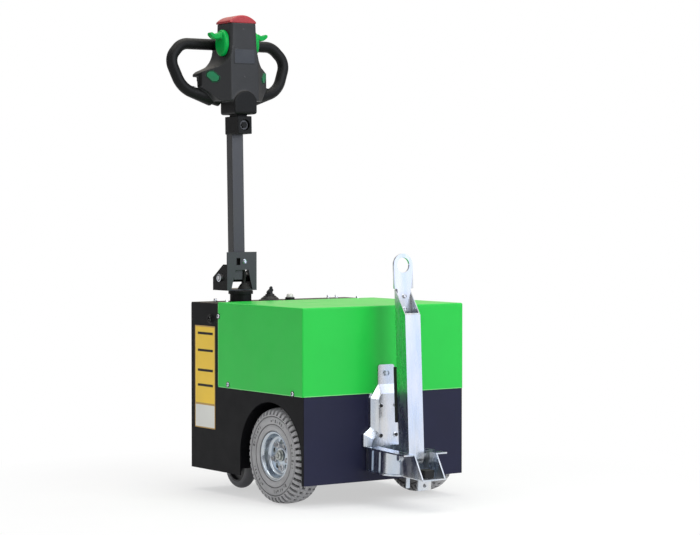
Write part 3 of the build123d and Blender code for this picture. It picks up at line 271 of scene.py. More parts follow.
# Finish of each CAD node by its slot, and of the nodes that differ from their slot
finishes = {
    "green_paint": GREEN, "black_paint": BLACK, "zinc_plate": ZINC, "bright_steel": STEEL,
    "axle_casting": CASTING, "motor_paint": CASTING, "battery_case": BATTERY, "grey_tread": TREAD,
    "grey_tyre": TREAD, "black_rubber": RUBBER, "core_plastic": CORE, "head_plastic": HEAD,
    "grip_plastic": GRIP, "red_plastic": RED, "green_plastic": WING, "window_plastic": WINDOW,
    "black_plastic": PLASTIC, "plate_print": YELLOW, "lamp_clear": CLEAR,
}
for part in frame["record"]["subparts"]:
    cad = NODES[part["node"]]
    cad.data.materials.clear()
    cad.data.materials.append(finishes[part["material_slot"]])
for name in ("tiller_tube", "tilt_bracket"):
    NODES[name].data.materials[0] = TUBE
for name in ("knuckle", "steering_column"):
    NODES[name].data.materials[0] = GRIP
# Hitch end panel: the same black paint, tinted blue as a painted reflection
NODES["hitch_end_panel"].data.materials[0] = BLUE_REFLECTION_BLACK


# Mesh building, in millimetres of a local frame

def placed(name, mesh, material, body, replaces):
    """Puts a mesh into the scene as a piece that rides on a body."""
    made = bpy.data.objects.new(name, mesh)
    bpy.context.scene.collection.objects.link(made)
    for each in material if isinstance(material, tuple) else (material,):
        mesh.materials.append(each)
    if body:
        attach(made, body)
    if replaces:
        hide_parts(*replaces)
    return made


def piece(name, bm, base, body, material, replaces=(), sharp=35.0):
    """Turns a bmesh in millimetres of a base frame into a piece, its edges sharp from an angle on."""
    bmesh.ops.recalc_face_normals(bm, faces=bm.faces)
    bm.normal_update()
    for face in bm.faces:
        face.smooth = True
    for edge in bm.edges:
        if len(edge.link_faces) == 2 and edge.calc_face_angle() > math.radians(sharp):
            edge.smooth = False
    mesh = bpy.data.meshes.new(name)
    bm.to_mesh(mesh)
    bm.free()
    mesh.transform(base @ Matrix.Scale(MM, 4))
    return placed(name, mesh, material, body, replaces)


def on_axis(axis, along, u, v, at=(0, 0, 0)):
    """A point along an axis through a place, with u and v across it."""
    local = {"X": (along, u, v), "Y": (u, along, v), "Z": (u, v, along)}[axis]
    return Vector(local) + Vector(at)


def on_circle(radius, degrees):
    """A point on a circle about the origin."""
    return radius * math.cos(math.radians(degrees)), radius * math.sin(math.radians(degrees))


def join_rings(bm, low, high):
    """Faces between two closed rings of as many points."""
    faces = []
    for k in range(len(low)):
        after = (k + 1) % len(low)
        faces.append(bm.faces.new((low[k], low[after], high[after], high[k])))
    return faces


def lathe(bm, profile, at=(0, 0, 0), axis="Y", sign=1, count=48, material=0):
    """Revolves (along, radius) points round an axis through a place."""
    rings = []
    for along, radius in profile:
        ring = []
        for k in range(count if radius else 1):
            a = 2 * math.pi * k / count
            point = on_axis(axis, sign * along, radius * math.cos(a), radius * math.sin(a), at)
            ring.append(bm.verts.new(point))
        rings.append(ring)
    for low, high in zip(rings, rings[1:]):
        for k in range(count):
            a, b = low[k % len(low)], low[(k + 1) % len(low)]
            c, d = high[(k + 1) % len(high)], high[k % len(high)]
            corners = list(dict.fromkeys((a, b, c, d)))
            if len(corners) > 2:
                bm.faces.new(corners).material_index = material
    return rings


def prism(bm, outline, low, high, axis="Z", bevel=0.0, material=0):
    """A closed outline extruded along an axis, with its edges rounded."""
    bottom = [bm.verts.new(on_axis(axis, low, u, v)) for u, v in outline]
    top = [bm.verts.new(on_axis(axis, high, u, v)) for u, v in outline]
    faces = [bm.faces.new(bottom[::-1]), bm.faces.new(top), *join_rings(bm, bottom, top)]
    for face in faces:
        face.material_index = material
    if bevel:
        edges = list(dict.fromkeys(edge for face in faces for edge in face.edges))
        bmesh.ops.bevel(bm, geom=edges, offset=bevel, segments=2, profile=0.6, affect="EDGES")


def turned_prism(bm, turn, outline, low, high, bevel, material=0):
    """A prism along X, then moved by a matrix."""
    start = len(bm.verts)
    prism(bm, outline, low, high, "X", bevel, material)
    bm.verts.ensure_lookup_table()
    bmesh.ops.transform(bm, matrix=turn, verts=bm.verts[start:])


def rectangle(width, height, x, y, corner, steps=4):
    """An outline with rounded corners about a centre."""
    points = []
    for sx, sy, start in ((1, -1, -90), (1, 1, 0), (-1, 1, 90), (-1, -1, 180)):
        for k in range(steps + 1):
            u, v = on_circle(corner, start + 90 * k / steps)
            points.append((x + sx * (width / 2 - corner) + u, y + sy * (height / 2 - corner) + v))
    return points


def washer_profile(radius, thickness, fall, step):
    """A washer whose rim drops by fall along and step across."""
    return [(0, 0), (0, radius), (thickness - fall, radius), (thickness, radius - step), (thickness, 0)]


def hex_bolt(bm, at, axis="X", sign=1, across=10.0, height=5.0, washer=0.0, turn=0.0, socket=0.0):
    """A bolt head with a chamfered top, on a washer and with a socket where it has them."""
    base = 0.0
    if washer:
        base = 1.6
        lathe(bm, washer_profile(washer, base, 0.4, 0.5), at, axis, sign, 24)
    radius = across / math.sqrt(3)
    rings = []
    for along, scale in ((base, 1.0), (base + height * 0.75, 1.0), (base + height, 0.87)):
        corners = [on_circle(radius * scale, turn + 60 * k) for k in range(6)]
        rings.append([bm.verts.new(on_axis(axis, sign * along, u, v, at)) for u, v in corners])
    for low, high in zip(rings, rings[1:]):
        join_rings(bm, low, high)
    bm.faces.new(rings[0][::-1])
    lid = bm.faces.new(rings[-1])
    if socket:
        bmesh.ops.inset_individual(bm, faces=[lid], thickness=radius * 0.87 - socket, depth=0)
        bmesh.ops.inset_individual(bm, faces=[lid], thickness=0.1, depth=0)
        bmesh.ops.translate(bm, verts=lid.verts, vec=on_axis(axis, -sign * 0.5 * height, 0, 0))


def dome_bolt(bm, at, axis="X", sign=1, radius=6.0, height=3.0, socket=2.2):
    """A round-headed bolt with a hollow in its top."""
    points = [(0, 0), (0, radius), (height * 0.25, radius)]
    for k in range(1, 6):
        a = math.radians(90 * k / 6)
        points.append((height * (0.25 + 0.75 * math.sin(a)), socket + (radius - socket) * math.cos(a)))
    points += [(height, socket), (height * 0.35, socket * 0.9), (height * 0.35, 0)]
    lathe(bm, points, at, axis, sign, 24)


def flush_screw(bm, at, axis="X", sign=1, radius=5.0):
    """A countersunk screw whose head lies level with the sheet."""
    points = [(-2, 0), (-2, radius * 0.5), (0, radius), (0.15, radius), (0.2, radius - 0.3),
              (0.2, radius * 0.45), (-1.2, radius * 0.4), (-1.2, 0)]
    lathe(bm, points, at, axis, sign, 24)


def carve(bm, cutter):
    """The mesh with another mesh taken out of it, both in the same frame."""
    made = []
    for name, each in (("carve_body", bm), ("carve_tool", cutter)):
        bmesh.ops.recalc_face_normals(each, faces=each.faces)
        mesh = bpy.data.meshes.new(name)
        each.to_mesh(mesh)
        each.free()
        made.append(bpy.data.objects.new(name, mesh))
        bpy.context.scene.collection.objects.link(made[-1])
    cut = made[0].modifiers.new("cut", "BOOLEAN")
    cut.operation = "DIFFERENCE"
    cut.solver = "EXACT"
    cut.object = made[1]
    final = bpy.data.meshes.new_from_object(made[0].evaluated_get(bpy.context.evaluated_depsgraph_get()))
    left = bmesh.new()
    left.from_mesh(final)
    bpy.data.meshes.remove(final)
    for each in made:
        mesh = each.data
        bpy.data.objects.remove(each)
        bpy.data.meshes.remove(mesh)
    return left


def smooth_line(points, steps):
    """A smooth line through points, with steps between each two."""
    route = [Vector(point) for point in points]
    line = []
    for k, (here, there) in enumerate(zip(route, route[1:])):
        before, after = route[max(k - 1, 0)], route[min(k + 2, len(route) - 1)]
        for j in range(steps):
            t = j / steps
            straight = 2 * here + (there - before) * t
            bend = (2 * before - 5 * here + 4 * there - after) * t * t
            line.append(0.5 * (straight + bend + (3 * here - before - 3 * there + after) * t ** 3))
    return line + [route[-1]]


def pipe(bm, points, radius, count=14, steps=8):
    """A round pipe along a smooth line through points."""
    line = smooth_line(points, steps)
    rings, across = [], None
    for k, here in enumerate(line):
        ahead = (line[min(k + 1, len(line) - 1)] - line[max(k - 1, 0)]).normalized()
        across = ahead.orthogonal() if across is None else across - ahead * across.dot(ahead)
        across.normalize()
        other = ahead.cross(across)
        turns = [on_circle(radius, 360 * j / count) for j in range(count)]
        rings.append([bm.verts.new(here + u * across + v * other) for u, v in turns])
    for low, high in zip(rings, rings[1:]):
        join_rings(bm, low, high)
    bm.faces.new(rings[0][::-1])
    bm.faces.new(rings[-1])


def skin(name, nodes, voxel, rounds, body, material, shape=None):
    """CAD solids joined into one skin with soft edges, its points moved by a shape function."""
    bm = bmesh.new()
    for each in nodes:
        bm.from_mesh(NODES[each].data)
    mesh = bpy.data.meshes.new(name + "_draft")
    bm.to_mesh(mesh)
    bm.free()
    draft = bpy.data.objects.new(name + "_draft", mesh)
    bpy.context.scene.collection.objects.link(draft)
    join = draft.modifiers.new("join", "REMESH")
    join.mode = "VOXEL"
    join.voxel_size = voxel * MM
    soften = draft.modifiers.new("soften", "SMOOTH")
    soften.factor = 0.5
    soften.iterations = rounds
    graph = bpy.context.evaluated_depsgraph_get()
    final = bpy.data.meshes.new_from_object(draft.evaluated_get(graph))
    bpy.data.objects.remove(draft)
    bpy.data.meshes.remove(mesh)
    final.name = name
    final.materials.clear()
    for polygon in final.polygons:
        polygon.use_smooth = True
    if shape:
        back = TILLER.inverted()
        for vertex in final.vertices:
            vertex.co = TILLER @ (MM * shape(back @ vertex.co / MM))
    return placed(name, final, material, body, nodes)


def surface_tree(name):
    """Nearest-point search on a CAD node."""
    bm = bmesh.new()
    bm.from_mesh(NODES[name].data)
    made = BVHTree.FromBMesh(bm)
    bm.free()
    return made


# Drive wheels, drawn about their own centre with the axle along Y

# Half of the tyre's section from the bead to the crown: along the axle, radius, depth of the grooves there
TYRE_HALF = [
    (33.6, 63.2, 0), (33.6, 66.8, 0), (36.0, 67.2, 0), (38.8, 68.8, 0), (40.9, 71.6, 0), (41.9, 75.4, 0),
    (41.6, 79.2, 0), (40.2, 82.4, 0), (38.4, 84.2, 0), (37.7, 85.2, 0), (38.0, 86.2, 0), (39.6, 86.9, 0),
    (40.3, 88.2, 0), (41.2, 92, 0), (41.5, 97, 0), (41.1, 102, 0), (40.5, 104.8, 0), (38.9, 105.7, 0),
    (38.5, 106.8, 0), (39.1, 107.8, 0), (41.4, 108.6, 0), (42.1, 110.2, 0), (41.9, 111.6, 0),
    (41.4, 112.6, 4.2), (40.0, 117, 6.4), (37.8, 121, 7.0), (34.6, 124.3, 7.2), (30, 126.6, 6.4),
    (23, 128, 6.0), (22.4, 128.1, 0), (16.4, 128.9, 0), (15.8, 129, 4.6), (6.4, 129.8, 4.6),
    (5.8, 129.85, 0), (0, 130, 0),
]
TYRE_PROFILE = TYRE_HALF + [(-along, radius, depth) for along, radius, depth in TYRE_HALF[-2::-1]]
LUGS = 44
LUG_STEPS = ((0.0, 0), (0.05, 1), (0.40, 1), (0.45, 0))
CROWN_HALF, CROWN_RADIUS = 34, 110
SHOULDER_RADIUS, SHOULDER_CUT = 124, 4.6

RIM_PROFILE = [
    (-32, 62.9), (-34, 64.5), (-36.4, 66.6), (-37.4, 65.6), (-37.2, 62.5), (-34.5, 60), (-20, 59),
    (-12, 58.6), (2, 57.4), (6.5, 53), (9, 47), (9.6, 42), (9.6, 30), (10.4, 28), (10.4, 14),
    (13.8, 14), (14.8, 15), (14.8, 24), (13.6, 27), (13.4, 42), (12.8, 47), (13.6, 51.2), (16, 54.2),
    (20, 56), (28, 57.2), (32.5, 58.2), (35.4, 60), (37, 62.8), (37.4, 65.4), (36.6, 66.8), (35, 66.6),
    (33.8, 64.6), (32.6, 62.9),
]
HUB_PROFILE = [
    (-102.5, 0), (-102.5, 12), (-102, 12.5), (-52, 12.5), (-52, 27), (-50, 29), (-3, 29), (-1, 31), (2, 40),
    (9.5, 40), (9.6, 13.8), (15.5, 13.8), (15.9, 15.4), (16.6, 16), (18.4, 16), (19.2, 15.2), (19.4, 12.4),
    (24.4, 12), (25.6, 10.8), (25.8, 6.4), (24.2, 6), (24, 0),
]
STUDS, STUD_TURN, STUD_CIRCLE, DISC_FACE = 5, -90, 34, 13.5
HOLE_CIRCLE, HOLE_RADIUS = 36, 6.8
MARK_GROUPS, MARK_START, MARK_PITCH = 5, 12, 6.2
MARK_SWEEPS = (3.4, 1.2, 2.6, 1.2, 3.4, 2.0, 1.2)
MARK_BANDS = ((91, 100), (92, 97), (94, 100))


def tyre_mesh():
    """The tyre with shoulder lugs and cross grooves, the floors of its grooves in a darker second material,
    painted shade and grime.
    """
    bm = bmesh.new()
    rings = []
    for along, radius, depth in TYRE_PROFILE:
        slew = 0.0
        if abs(along) < CROWN_HALF and radius > CROWN_RADIUS:
            slew = 0.5 * (CROWN_HALF - abs(along)) / CROWN_HALF * (1 if along > 0 else -1)
        ring = []
        for lug in range(LUGS):
            for share, deep in LUG_STEPS:
                u, v = on_circle(radius - depth * deep, 360 * (lug + share + slew) / LUGS)
                drawn_in = min(SHOULDER_CUT, depth) * deep if radius < SHOULDER_RADIUS else 0.0
                ring.append(bm.verts.new((u, along - math.copysign(drawn_in, along), v)))
        rings.append(ring)
    # Groove floors take the darker second material: painted shade and grime
    for row, (low, high) in enumerate(zip(rings, rings[1:])):
        grooved = TYRE_PROFILE[row][2] and TYRE_PROFILE[row + 1][2]
        for k, face in enumerate(join_rings(bm, low, high)):
            face.material_index = 1 if grooved and k % len(LUG_STEPS) == 1 else 0
    join_rings(bm, rings[-1], rings[0])
    return bm


def rim_mesh():
    """The dished rim with a hole between each two studs."""
    bm = bmesh.new()
    rings = lathe(bm, RIM_PROFILE, count=96)
    join_rings(bm, rings[-1], rings[0])
    holes = bmesh.new()
    for k in range(STUDS):
        u, v = on_circle(HOLE_CIRCLE, STUD_TURN + 360 / STUDS * (k + 0.5))
        lathe(holes, [(0, 0), (0, HOLE_RADIUS), (25, HOLE_RADIUS), (25, 0)], (u, 0, v), "Y", 1, 24)
    return carve(bm, holes)


def nuts_mesh():
    """The wheel nuts on their washers."""
    bm = bmesh.new()
    for k in range(STUDS):
        turn = 360 / STUDS * k
        u, v = on_circle(STUD_CIRCLE, STUD_TURN + turn)
        hex_bolt(bm, (u, DISC_FACE, v), "Y", 1, 13, 8, 0, turn, 4.2)
        lathe(bm, washer_profile(9.4, 2.0, 0.6, 0.8), (u, DISC_FACE, v), "Y", 1, 24)
    return bm


def hub_mesh():
    """The hub on its shaft, with a collar and a nut on its nose."""
    bm = bmesh.new()
    lathe(bm, HUB_PROFILE, count=48)
    hex_bolt(bm, (0, 23.9, 0), "Y", 1, 9, 3.4, 0, 15)
    return bm


def marks_mesh():
    """Plain raised bars in groups round the side wall."""
    bm = bmesh.new()
    for group in range(MARK_GROUPS):
        for k, sweep in enumerate(MARK_SWEEPS):
            start = 360 / MARK_GROUPS * group + MARK_START + MARK_PITCH * k
            inner, outer = MARK_BANDS[(k + group) % len(MARK_BANDS)]
            corners = ((inner, start), (outer, start), (outer, start + sweep), (inner, start + sweep))
            prism(bm, [on_circle(radius, turn) for radius, turn in corners], 40.4, 41.9, "Y")
    return bm


def valve_mesh():
    """The tyre valve through the rim's disc."""
    bm = bmesh.new()
    u, v = on_circle(47, 152)
    stem = [(0, 0), (0, 4.6), (4, 4.4), (9, 3.6), (10, 2.8), (15, 2.7), (16, 2.2), (16, 0)]
    lathe(bm, stem, (u, 13, v), "Y", 1, 20)
    return bm


for side_name, side in (("left", 1), ("right", -1)):
    body = f"drive_wheel_{side_name}"
    base = moved(BODY, WHEEL_X, side * WHEEL_Y, WHEEL_Z)
    if side < 0:
        base = base @ Matrix.Rotation(math.pi, 4, "Z")
    rubber = (tyre_rubber(f"tyre_rubber_{side_name}", side), GROOVE_SHADE_AND_GRIME)
    piece(f"tyre_tread_{side_name}", tyre_mesh(), base, body, rubber, (f"tyre_{side_name}",), 28)
    piece(f"rim_dish_{side_name}", rim_mesh(), base, body, RIM_ZINC, (f"rim_{side_name}",), 40)
    piece(f"rim_nuts_{side_name}", nuts_mesh(), base, body, STEEL, (), 30)
    piece(f"wheel_hub_{side_name}", hub_mesh(), base, body, DULL_ZINC,
          (f"hub_{side_name}",), 30)
    piece(f"tyre_marks_{side_name}", marks_mesh(), base, body, MARKS, (), 30)
    piece(f"valve_{side_name}", valve_mesh(), base, body, RUBBER, (), 40)

# Bolts of the cover: domed on washers on the right, level with the sheet on the left
bm = bmesh.new()
for x, z in ((-135, 495), (-86, 308), (234, 304)):
    dome_bolt(bm, (x, -COVER_FACE, z), "Y", -1, 6.0, 3.4, 3.0)
    lathe(bm, washer_profile(8.2, 1.2, 0.3, 0.6), (x, -COVER_FACE, z), "Y", -1, 24, 1)
    flush_screw(bm, (x, COVER_FACE, z), "Y", 1, 6.5)
piece("cover_bolts", bm, BODY, "chassis", (ZINC, CASTING))

# Screws along the four edges of the rear panel
SCREW_ROWS = (508, 88)
bm = bmesh.new()
for y in (-244, -82, 82, 244):
    for z in SCREW_ROWS:
        flush_screw(bm, (-HALF_LENGTH, y, z), "X", -1, 5.5)
for z in (398, 298, 198):
    for y in (-250, 250):
        flush_screw(bm, (-HALF_LENGTH, y, z), "X", -1, 5.5)
piece("rear_screws", bm, BODY, "chassis", TUBE)

# Plate on the right side: a yellow and a white field with plain bars, each layer on the one before
PLATE_X, PLATE_Z, PLATE_LAYERS = -208, 321.5, (-266, -266.8, -266.9, -267.0, -267.1)
BACKING, BORDER, FIELD, BARS = zip(PLATE_LAYERS, PLATE_LAYERS[1:])
bm = bmesh.new()
prism(bm, rectangle(108, 289, PLATE_X, PLATE_Z, 3), *BACKING, "Y", material=0)
prism(bm, rectangle(107, 288, PLATE_X, PLATE_Z, 2.6), *BORDER, "Y", material=3)
prism(bm, rectangle(100, 214, PLATE_X, 355, 2), *FIELD, "Y", material=1)
prism(bm, rectangle(100, 62, PLATE_X, 211.5, 2), *FIELD, "Y", material=2)
for z in (444, 396, 340, 298):
    prism(bm, rectangle(80, 7, PLATE_X + 2, z, 1), *BARS, "Y", material=0)
piece("plate_fields", bm, BODY, "chassis", (PLASTIC, YELLOW, WHITE, TAN), ("side_plate",), 20)

# Folded edges of the cover: thin strips of lighter green, a painted highlight along their rounding
COVER_FOOT = 299
bm = bmesh.new()
for side in (1, -1):
    prism(bm, rectangle(1.8, 228, -136.3, 416, 0.6), side * 267.4, side * 268.1, "Y")
    prism(bm, rectangle(412, 1.6, 72, COVER_FOOT, 0.6), side * 267.4, side * 268.1, "Y")
prism(bm, rectangle(528, 1.6, 0, COVER_FOOT, 0.6), 282.0, 282.8, "X")
piece("cover_edge_highlights", bm, BODY, "chassis", EDGE_HIGHLIGHT)


# Tiller head, in the tiller's frame: one moulded skin over the housing, boss and loops

SHOULDER_FROM, SHOULDER_TO, SHOULDER_LOW, SHOULDER_HIGH, SHOULDER_BACK = 104, 130, 540, 604, -44
TAB_ROOT, TAB_TIP, TAB_X, TAB_Z = 64, 112, 27, 683
HEAD_NODES = ("head_housing", "head_boss", "handle_loop_left", "handle_loop_right")
LOOP_GAP, BOSS_GAP, FRONT_FROM = 2.2, 1.0, 60


def blunt_shoulder(point):
    """Draws in the tips of the shoulders."""
    high_enough = SHOULDER_LOW < point.z < SHOULDER_HIGH
    if SHOULDER_FROM < abs(point.y) < SHOULDER_TO and high_enough and point.x > SHOULDER_BACK:
        point.y = math.copysign(SHOULDER_FROM + 0.55 * (abs(point.y) - SHOULDER_FROM), point.y)
    return point


def curl_thumb(point):
    """Shortens a thumb tab and turns its end up."""
    out = abs(point.y) - TAB_ROOT
    if out > 0:
        t = out / (TAB_TIP - TAB_ROOT)
        point.y = math.copysign(TAB_ROOT + 0.66 * out, point.y)
        point.z = TAB_Z + (point.z - TAB_Z) * (1 - 0.25 * t) + 6 * t * t - 5 * math.sin(math.pi * min(t, 1))
        point.x = TAB_X + (point.x - TAB_X) * (1 - 0.3 * t) + 3 * t
    return point


def darken_loops(shell):
    """Gives the loops and the boss the second material of the head's skin."""
    housing, boss = surface_tree("head_housing"), surface_tree("head_boss")
    to_tiller = TILLER.inverted()
    for polygon in shell.data.polygons:
        housing_gap = housing.find_nearest(polygon.center)[3]
        boss_gap = boss.find_nearest(polygon.center)[3]
        on_loop = housing_gap > LOOP_GAP * MM and (to_tiller @ polygon.center).x < FRONT_FROM * MM
        on_boss = boss_gap < BOSS_GAP * MM and boss_gap < housing_gap
        polygon.material_index = 1 if on_loop or on_boss else 0


darken_loops(skin("head_shell", HEAD_NODES, 2.1, 4, "tiller", (HEAD, GRIP), blunt_shoulder))
skin("stop_cap_skin", ("stop_cap",), 1.1, 5, "tiller", RED)
for side_name in ("left", "right"):
    skin(f"paddle_skin_{side_name}", (f"speed_paddle_{side_name}",), 1.2, 10, "tiller", WING,
         curl_thumb)

# Window panel with a raised rim
WINDOW_Z, RIM_FACE = 624, 64.9
bm = bmesh.new()
prism(bm, rectangle(70, 43, 0, WINDOW_Z, 3), 63.5, RIM_FACE, "X", bevel=0.3, material=0)
prism(bm, rectangle(66, 39, 0, WINDOW_Z, 2.4), RIM_FACE, 65.2, "X", material=1)
piece("window_panel", bm, TILLER, "tiller", (HEAD, WINDOW), ("head_window",), 20)

# Green keys on the head's two slanted facets, in dark frames. A facet runs from its front edge to its
# back edge, both as X and distance from the middle.
FACET_FRONT, FACET_BACK = Vector((64, 45)), Vector((4, 117))
KEY_SHARE, KEY_Z, FRAME_WIDTH = 0.55, 567, 3.0
# Corners of a key: across, up, and the way in which each grows into the frame
KEY_CORNERS = ((17, 9, 1, 1), (11, 14, 0, 1), (-1, 14, 0, 1), (-17, -1, -1, 0),
               (-16, -9, -1, -1), (-10, -14, 0, -1), (2, -14, 0, -1), (18, 1, 1, 0))
bm = bmesh.new()
for side in (1, -1):
    key_x, key_y = FACET_FRONT.lerp(FACET_BACK, KEY_SHARE)
    run = FACET_BACK - FACET_FRONT
    facet_turn = math.pi / 2 - math.atan2(run.y, -run.x)
    turn = Matrix.Translation((key_x, side * key_y, KEY_Z)) @ Matrix.Rotation(side * facet_turn, 4, "Z")
    for grow, low, high, shade in ((FRAME_WIDTH, -0.8, 0.9, 1), (0.0, 0.9, 2.4, 0)):
        key = [(side * (u + grow * out), v + grow * up) for u, v, out, up in KEY_CORNERS]
        turned_prism(bm, turn, key[::-side], low, high, 0.5, shade)
piece("facet_keys", bm, TILLER, "tiller", (KEY, DARK))

# Screws on the head's front, and the bolt in the knuckle's recess
bm = bmesh.new()
for y, z in ((0, 566), (-2, 700)):
    dome_bolt(bm, (63.6, y, z), "X", 1, 2.6, 0.8, 1.2)
hex_bolt(bm, (53.5, 0, 431), "X", 1, 16, 4, 13.5, 12, 4.5)
piece("head_screws", bm, TILLER, "tiller", TUBE)

# Tilt bracket: its ears cut lower behind the web, and its side faces in the darker plastic as painted shade
WEB_BACK, WEB_FOOT, EAR_FRONT, EAR_BACK, EAR_LOW = 4.0, 636, -14.5, -100, 577
bm = bmesh.new()
bm.from_mesh(NODES["tilt_bracket"].data)
bmesh.ops.remove_doubles(bm, verts=bm.verts, dist=1e-6)
bmesh.ops.transform(bm, matrix=Matrix.Scale(1 / MM, 4) @ STEER.inverted(), verts=bm.verts)
above_ears = bmesh.new()
prism(above_ears, [(WEB_BACK, WEB_FOOT), (WEB_BACK, 700), (EAR_BACK, 700), (EAR_BACK, EAR_LOW),
                   (EAR_FRONT, WEB_FOOT)], -80, 80, "Y")
bm = carve(bm, above_ears)
bm.normal_update()
# Painted shade: faces turned to either side take the darker second material
for face in bm.faces:
    face.material_index = 1 if abs(face.normal.y) > 0.7 else 0
piece("bracket_sheet", bm, STEER, "steering", (TUBE, GRIP), ("tilt_bracket",), 30)

# Bolt on the bracket's web, and the rings and slots of the tilt pin
PIN_END, PIN_COUNT = 55.5, 28
bm = bmesh.new()
hex_bolt(bm, (7.0, 9, 644), "X", 1, 10, 4, 6.5, 10, 2.2)
for side in (1, -1):
    at = (PIVOT_X, side * PIN_END, PIVOT_Z)
    lathe(bm, [(0, 7), (0, 11), (1.4, 11), (1.8, 10.4), (1.8, 8.4), (0.6, 8.0)], at, "Y", side, PIN_COUNT)
    lathe(bm, [(0.5, 8.2), (0.5, 0)], at, "Y", side, PIN_COUNT, 1)
    prism(bm, rectangle(13, 2.2, PIVOT_X, PIVOT_Z, 1), side * (PIN_END + 0.4), side * (PIN_END + 1.1), "Y")
piece("bracket_bolts", bm, STEER, "steering", (ZINC, DARK))

# Cable from the boot into the tube
CABLE_ROUTE = [(-4, 14, 576), (-4, 14.5, 590), (-3, 16, 604), (-6, 15, 616), (-12, 12, 624)]
bm = bmesh.new()
pipe(bm, CABLE_ROUTE, 4.2)
cable = piece("tiller_cable", bm, STEER, None, RUBBER)
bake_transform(cable)

# Ribbed boot round the cable's foot
RIB_PITCH = 3.6
boot = [(0, 0), (0, 18), (3, 18)]
for k in range(3):
    rise, inset = RIB_PITCH * k, 2.4 * k
    boot += [(4 + rise, 17 - 2.2 * k), (5.4 + rise, 15.4 - inset), (6.4 + rise, 15.8 - inset)]
boot += [(15.5, 8), (16, 6), (16, 0)]
bm = bmesh.new()
lathe(bm, boot, (-4, 14, 566), "Z", 1, 36)
piece("boot_ribs", bm, STEER, "steering", RUBBER, ("cable_boot",), 50)


# Deck and right side

# Main switch: a stepped base with four screws and a turned grip
SWITCH_Y, LAMP_Y = -48, 21
SWITCH_PROFILE = [
    (0, 0), (0, 32), (2.5, 32), (3.5, 30.5), (4.5, 27), (8.5, 24), (11, 19.5), (14, 17.5), (15, 14),
    (19, 12.5), (20, 11), (20, 8.5), (27, 7.5), (28, 6), (28, 0),
]
bm = bmesh.new()
lathe(bm, SWITCH_PROFILE, (COLUMN_X, SWITCH_Y, DECK_TOP), "Z", 1, 56)
for k in range(4):
    u, v = on_circle(29, 45 + 90 * k)
    dome_bolt(bm, (COLUMN_X + u, SWITCH_Y + v, DECK_TOP + 2.5), "Z", 1, 2.6, 1.6, 1.1)
grip_place = Matrix.Translation((COLUMN_X, SWITCH_Y, DECK_TOP + 27))
grip_turn = grip_place @ Matrix.Rotation(math.radians(40), 4, "X")
for outline, half in ((rectangle(22, 12, 0, 0, 5), 3.2), (rectangle(9, 8, 9, 5, 3), 2.4)):
    turned_prism(bm, grip_turn, outline, -half, half, 1.0)
piece("isolator_switch", bm, BODY, "chassis", PLASTIC, ("main_switch",))

# Lamp: a black ring with a clear lens
LAMP_RING = [(0, 0), (0, 15), (2, 15), (2.6, 14), (7.5, 13.6), (8.4, 12.6), (9, 10.4)]
LAMP_LENS = [(8.6, 10.4), (11, 10.2), (12, 9.6), (15.6, 9.2), (17.2, 8), (18, 5), (18, 0)]
bm = bmesh.new()
lathe(bm, LAMP_RING, (COLUMN_X, LAMP_Y, DECK_TOP), "Z", 1, 40, 0)
lathe(bm, LAMP_LENS, (COLUMN_X, LAMP_Y, DECK_TOP), "Z", 1, 40, 1)
piece("beacon", bm, BODY, "chassis", (PLASTIC, CLEAR), ("deck_lamp",))

bm = bmesh.new()
for x, y in ((-268, -195), (-268, 197), (-262, 221), (-160, 225), (-160, -225)):
    hex_bolt(bm, (x, y, DECK_TOP), "Z", 1, 9, 6.5, 7, 20)
piece("deck_bolts", bm, BODY, "chassis", STEEL)

# Socket on the right side: a ring with a pin insert and two screws
SOCKET_X, SOCKET_Z = -179, 486
SOCKET_RING = [(0, 14), (1.2, 14), (1.6, 13.4), (1.6, 11), (5.4, 10.8), (6, 10.2), (6, 7.4), (5.4, 7),
               (2.2, 7), (2.2, 0)]
socket_at = (SOCKET_X, -PANEL_FACE, SOCKET_Z)
bm = bmesh.new()
lathe(bm, SOCKET_RING, socket_at, "Y", -1, 40)
lathe(bm, [(2.2, 3.4), (4.6, 3.2), (4.6, 0)], socket_at, "Y", -1, 24)
for k in range(3):
    u, v = on_circle(5.2, 90 + 120 * k)
    lathe(bm, [(2.2, 0.9), (4.2, 0.9), (4.2, 0)], (SOCKET_X + u, -PANEL_FACE, SOCKET_Z + v), "Y", -1, 10, 1)
for x in (SOCKET_X - 17, SOCKET_X + 17):
    dome_bolt(bm, (x, -PANEL_FACE, SOCKET_Z), "Y", -1, 2.4, 1.4, 1)
piece("socket_insert", bm, BODY, "chassis", (PLASTIC, STEEL), ("side_socket",))


# Hitch

# Bolts of the hitch plate, on dark washers
PLATE_FACE, WASHER = 297.4, 1.6
bm = bmesh.new()
for y in (25, -25):
    for z in (265, 185):
        lathe(bm, washer_profile(7, WASHER, 0.4, 0.6), (PLATE_FACE, y, z), "X", 1, 24, 1)
        hex_bolt(bm, (PLATE_FACE + WASHER, y, z), "X", 1, 8.5, 3.5, 0, 15, 2.2)
piece("hitch_bolts", bm, BODY, "chassis", (CASTING, STEEL))

# Bolt of the plate's tab, and the pin ends and bolts on the jaw's two sides
JAW_FACE = 38.4
PIN_HEAD = [(0, 0), (0, 12), (1.6, 12), (2.2, 11.4), (2.2, 8.6), (6.5, 8.4), (7.4, 7.4), (7.4, 0)]
ROD_HEAD = [(0, 0), (0, 6.4), (3, 6.2), (3.8, 5.4), (3.8, 0)]
bm = bmesh.new()
hex_bolt(bm, (288.4, 0, 352), "X", 1, 13, 5, 9, 0, 3.2)
for side in (1, -1):
    lathe(bm, PIN_HEAD, (HINGE_X, side * JAW_FACE, HINGE_Z), "Y", side, 32)
    hex_bolt(bm, (345, side * JAW_FACE, 120), "Y", side, 10, 4, 7, 20, 2.4)
    lathe(bm, ROD_HEAD, (374, side * JAW_FACE, 138), "Y", side, 24)
piece("jaw_pins", bm, BODY, "chassis", ZINC)

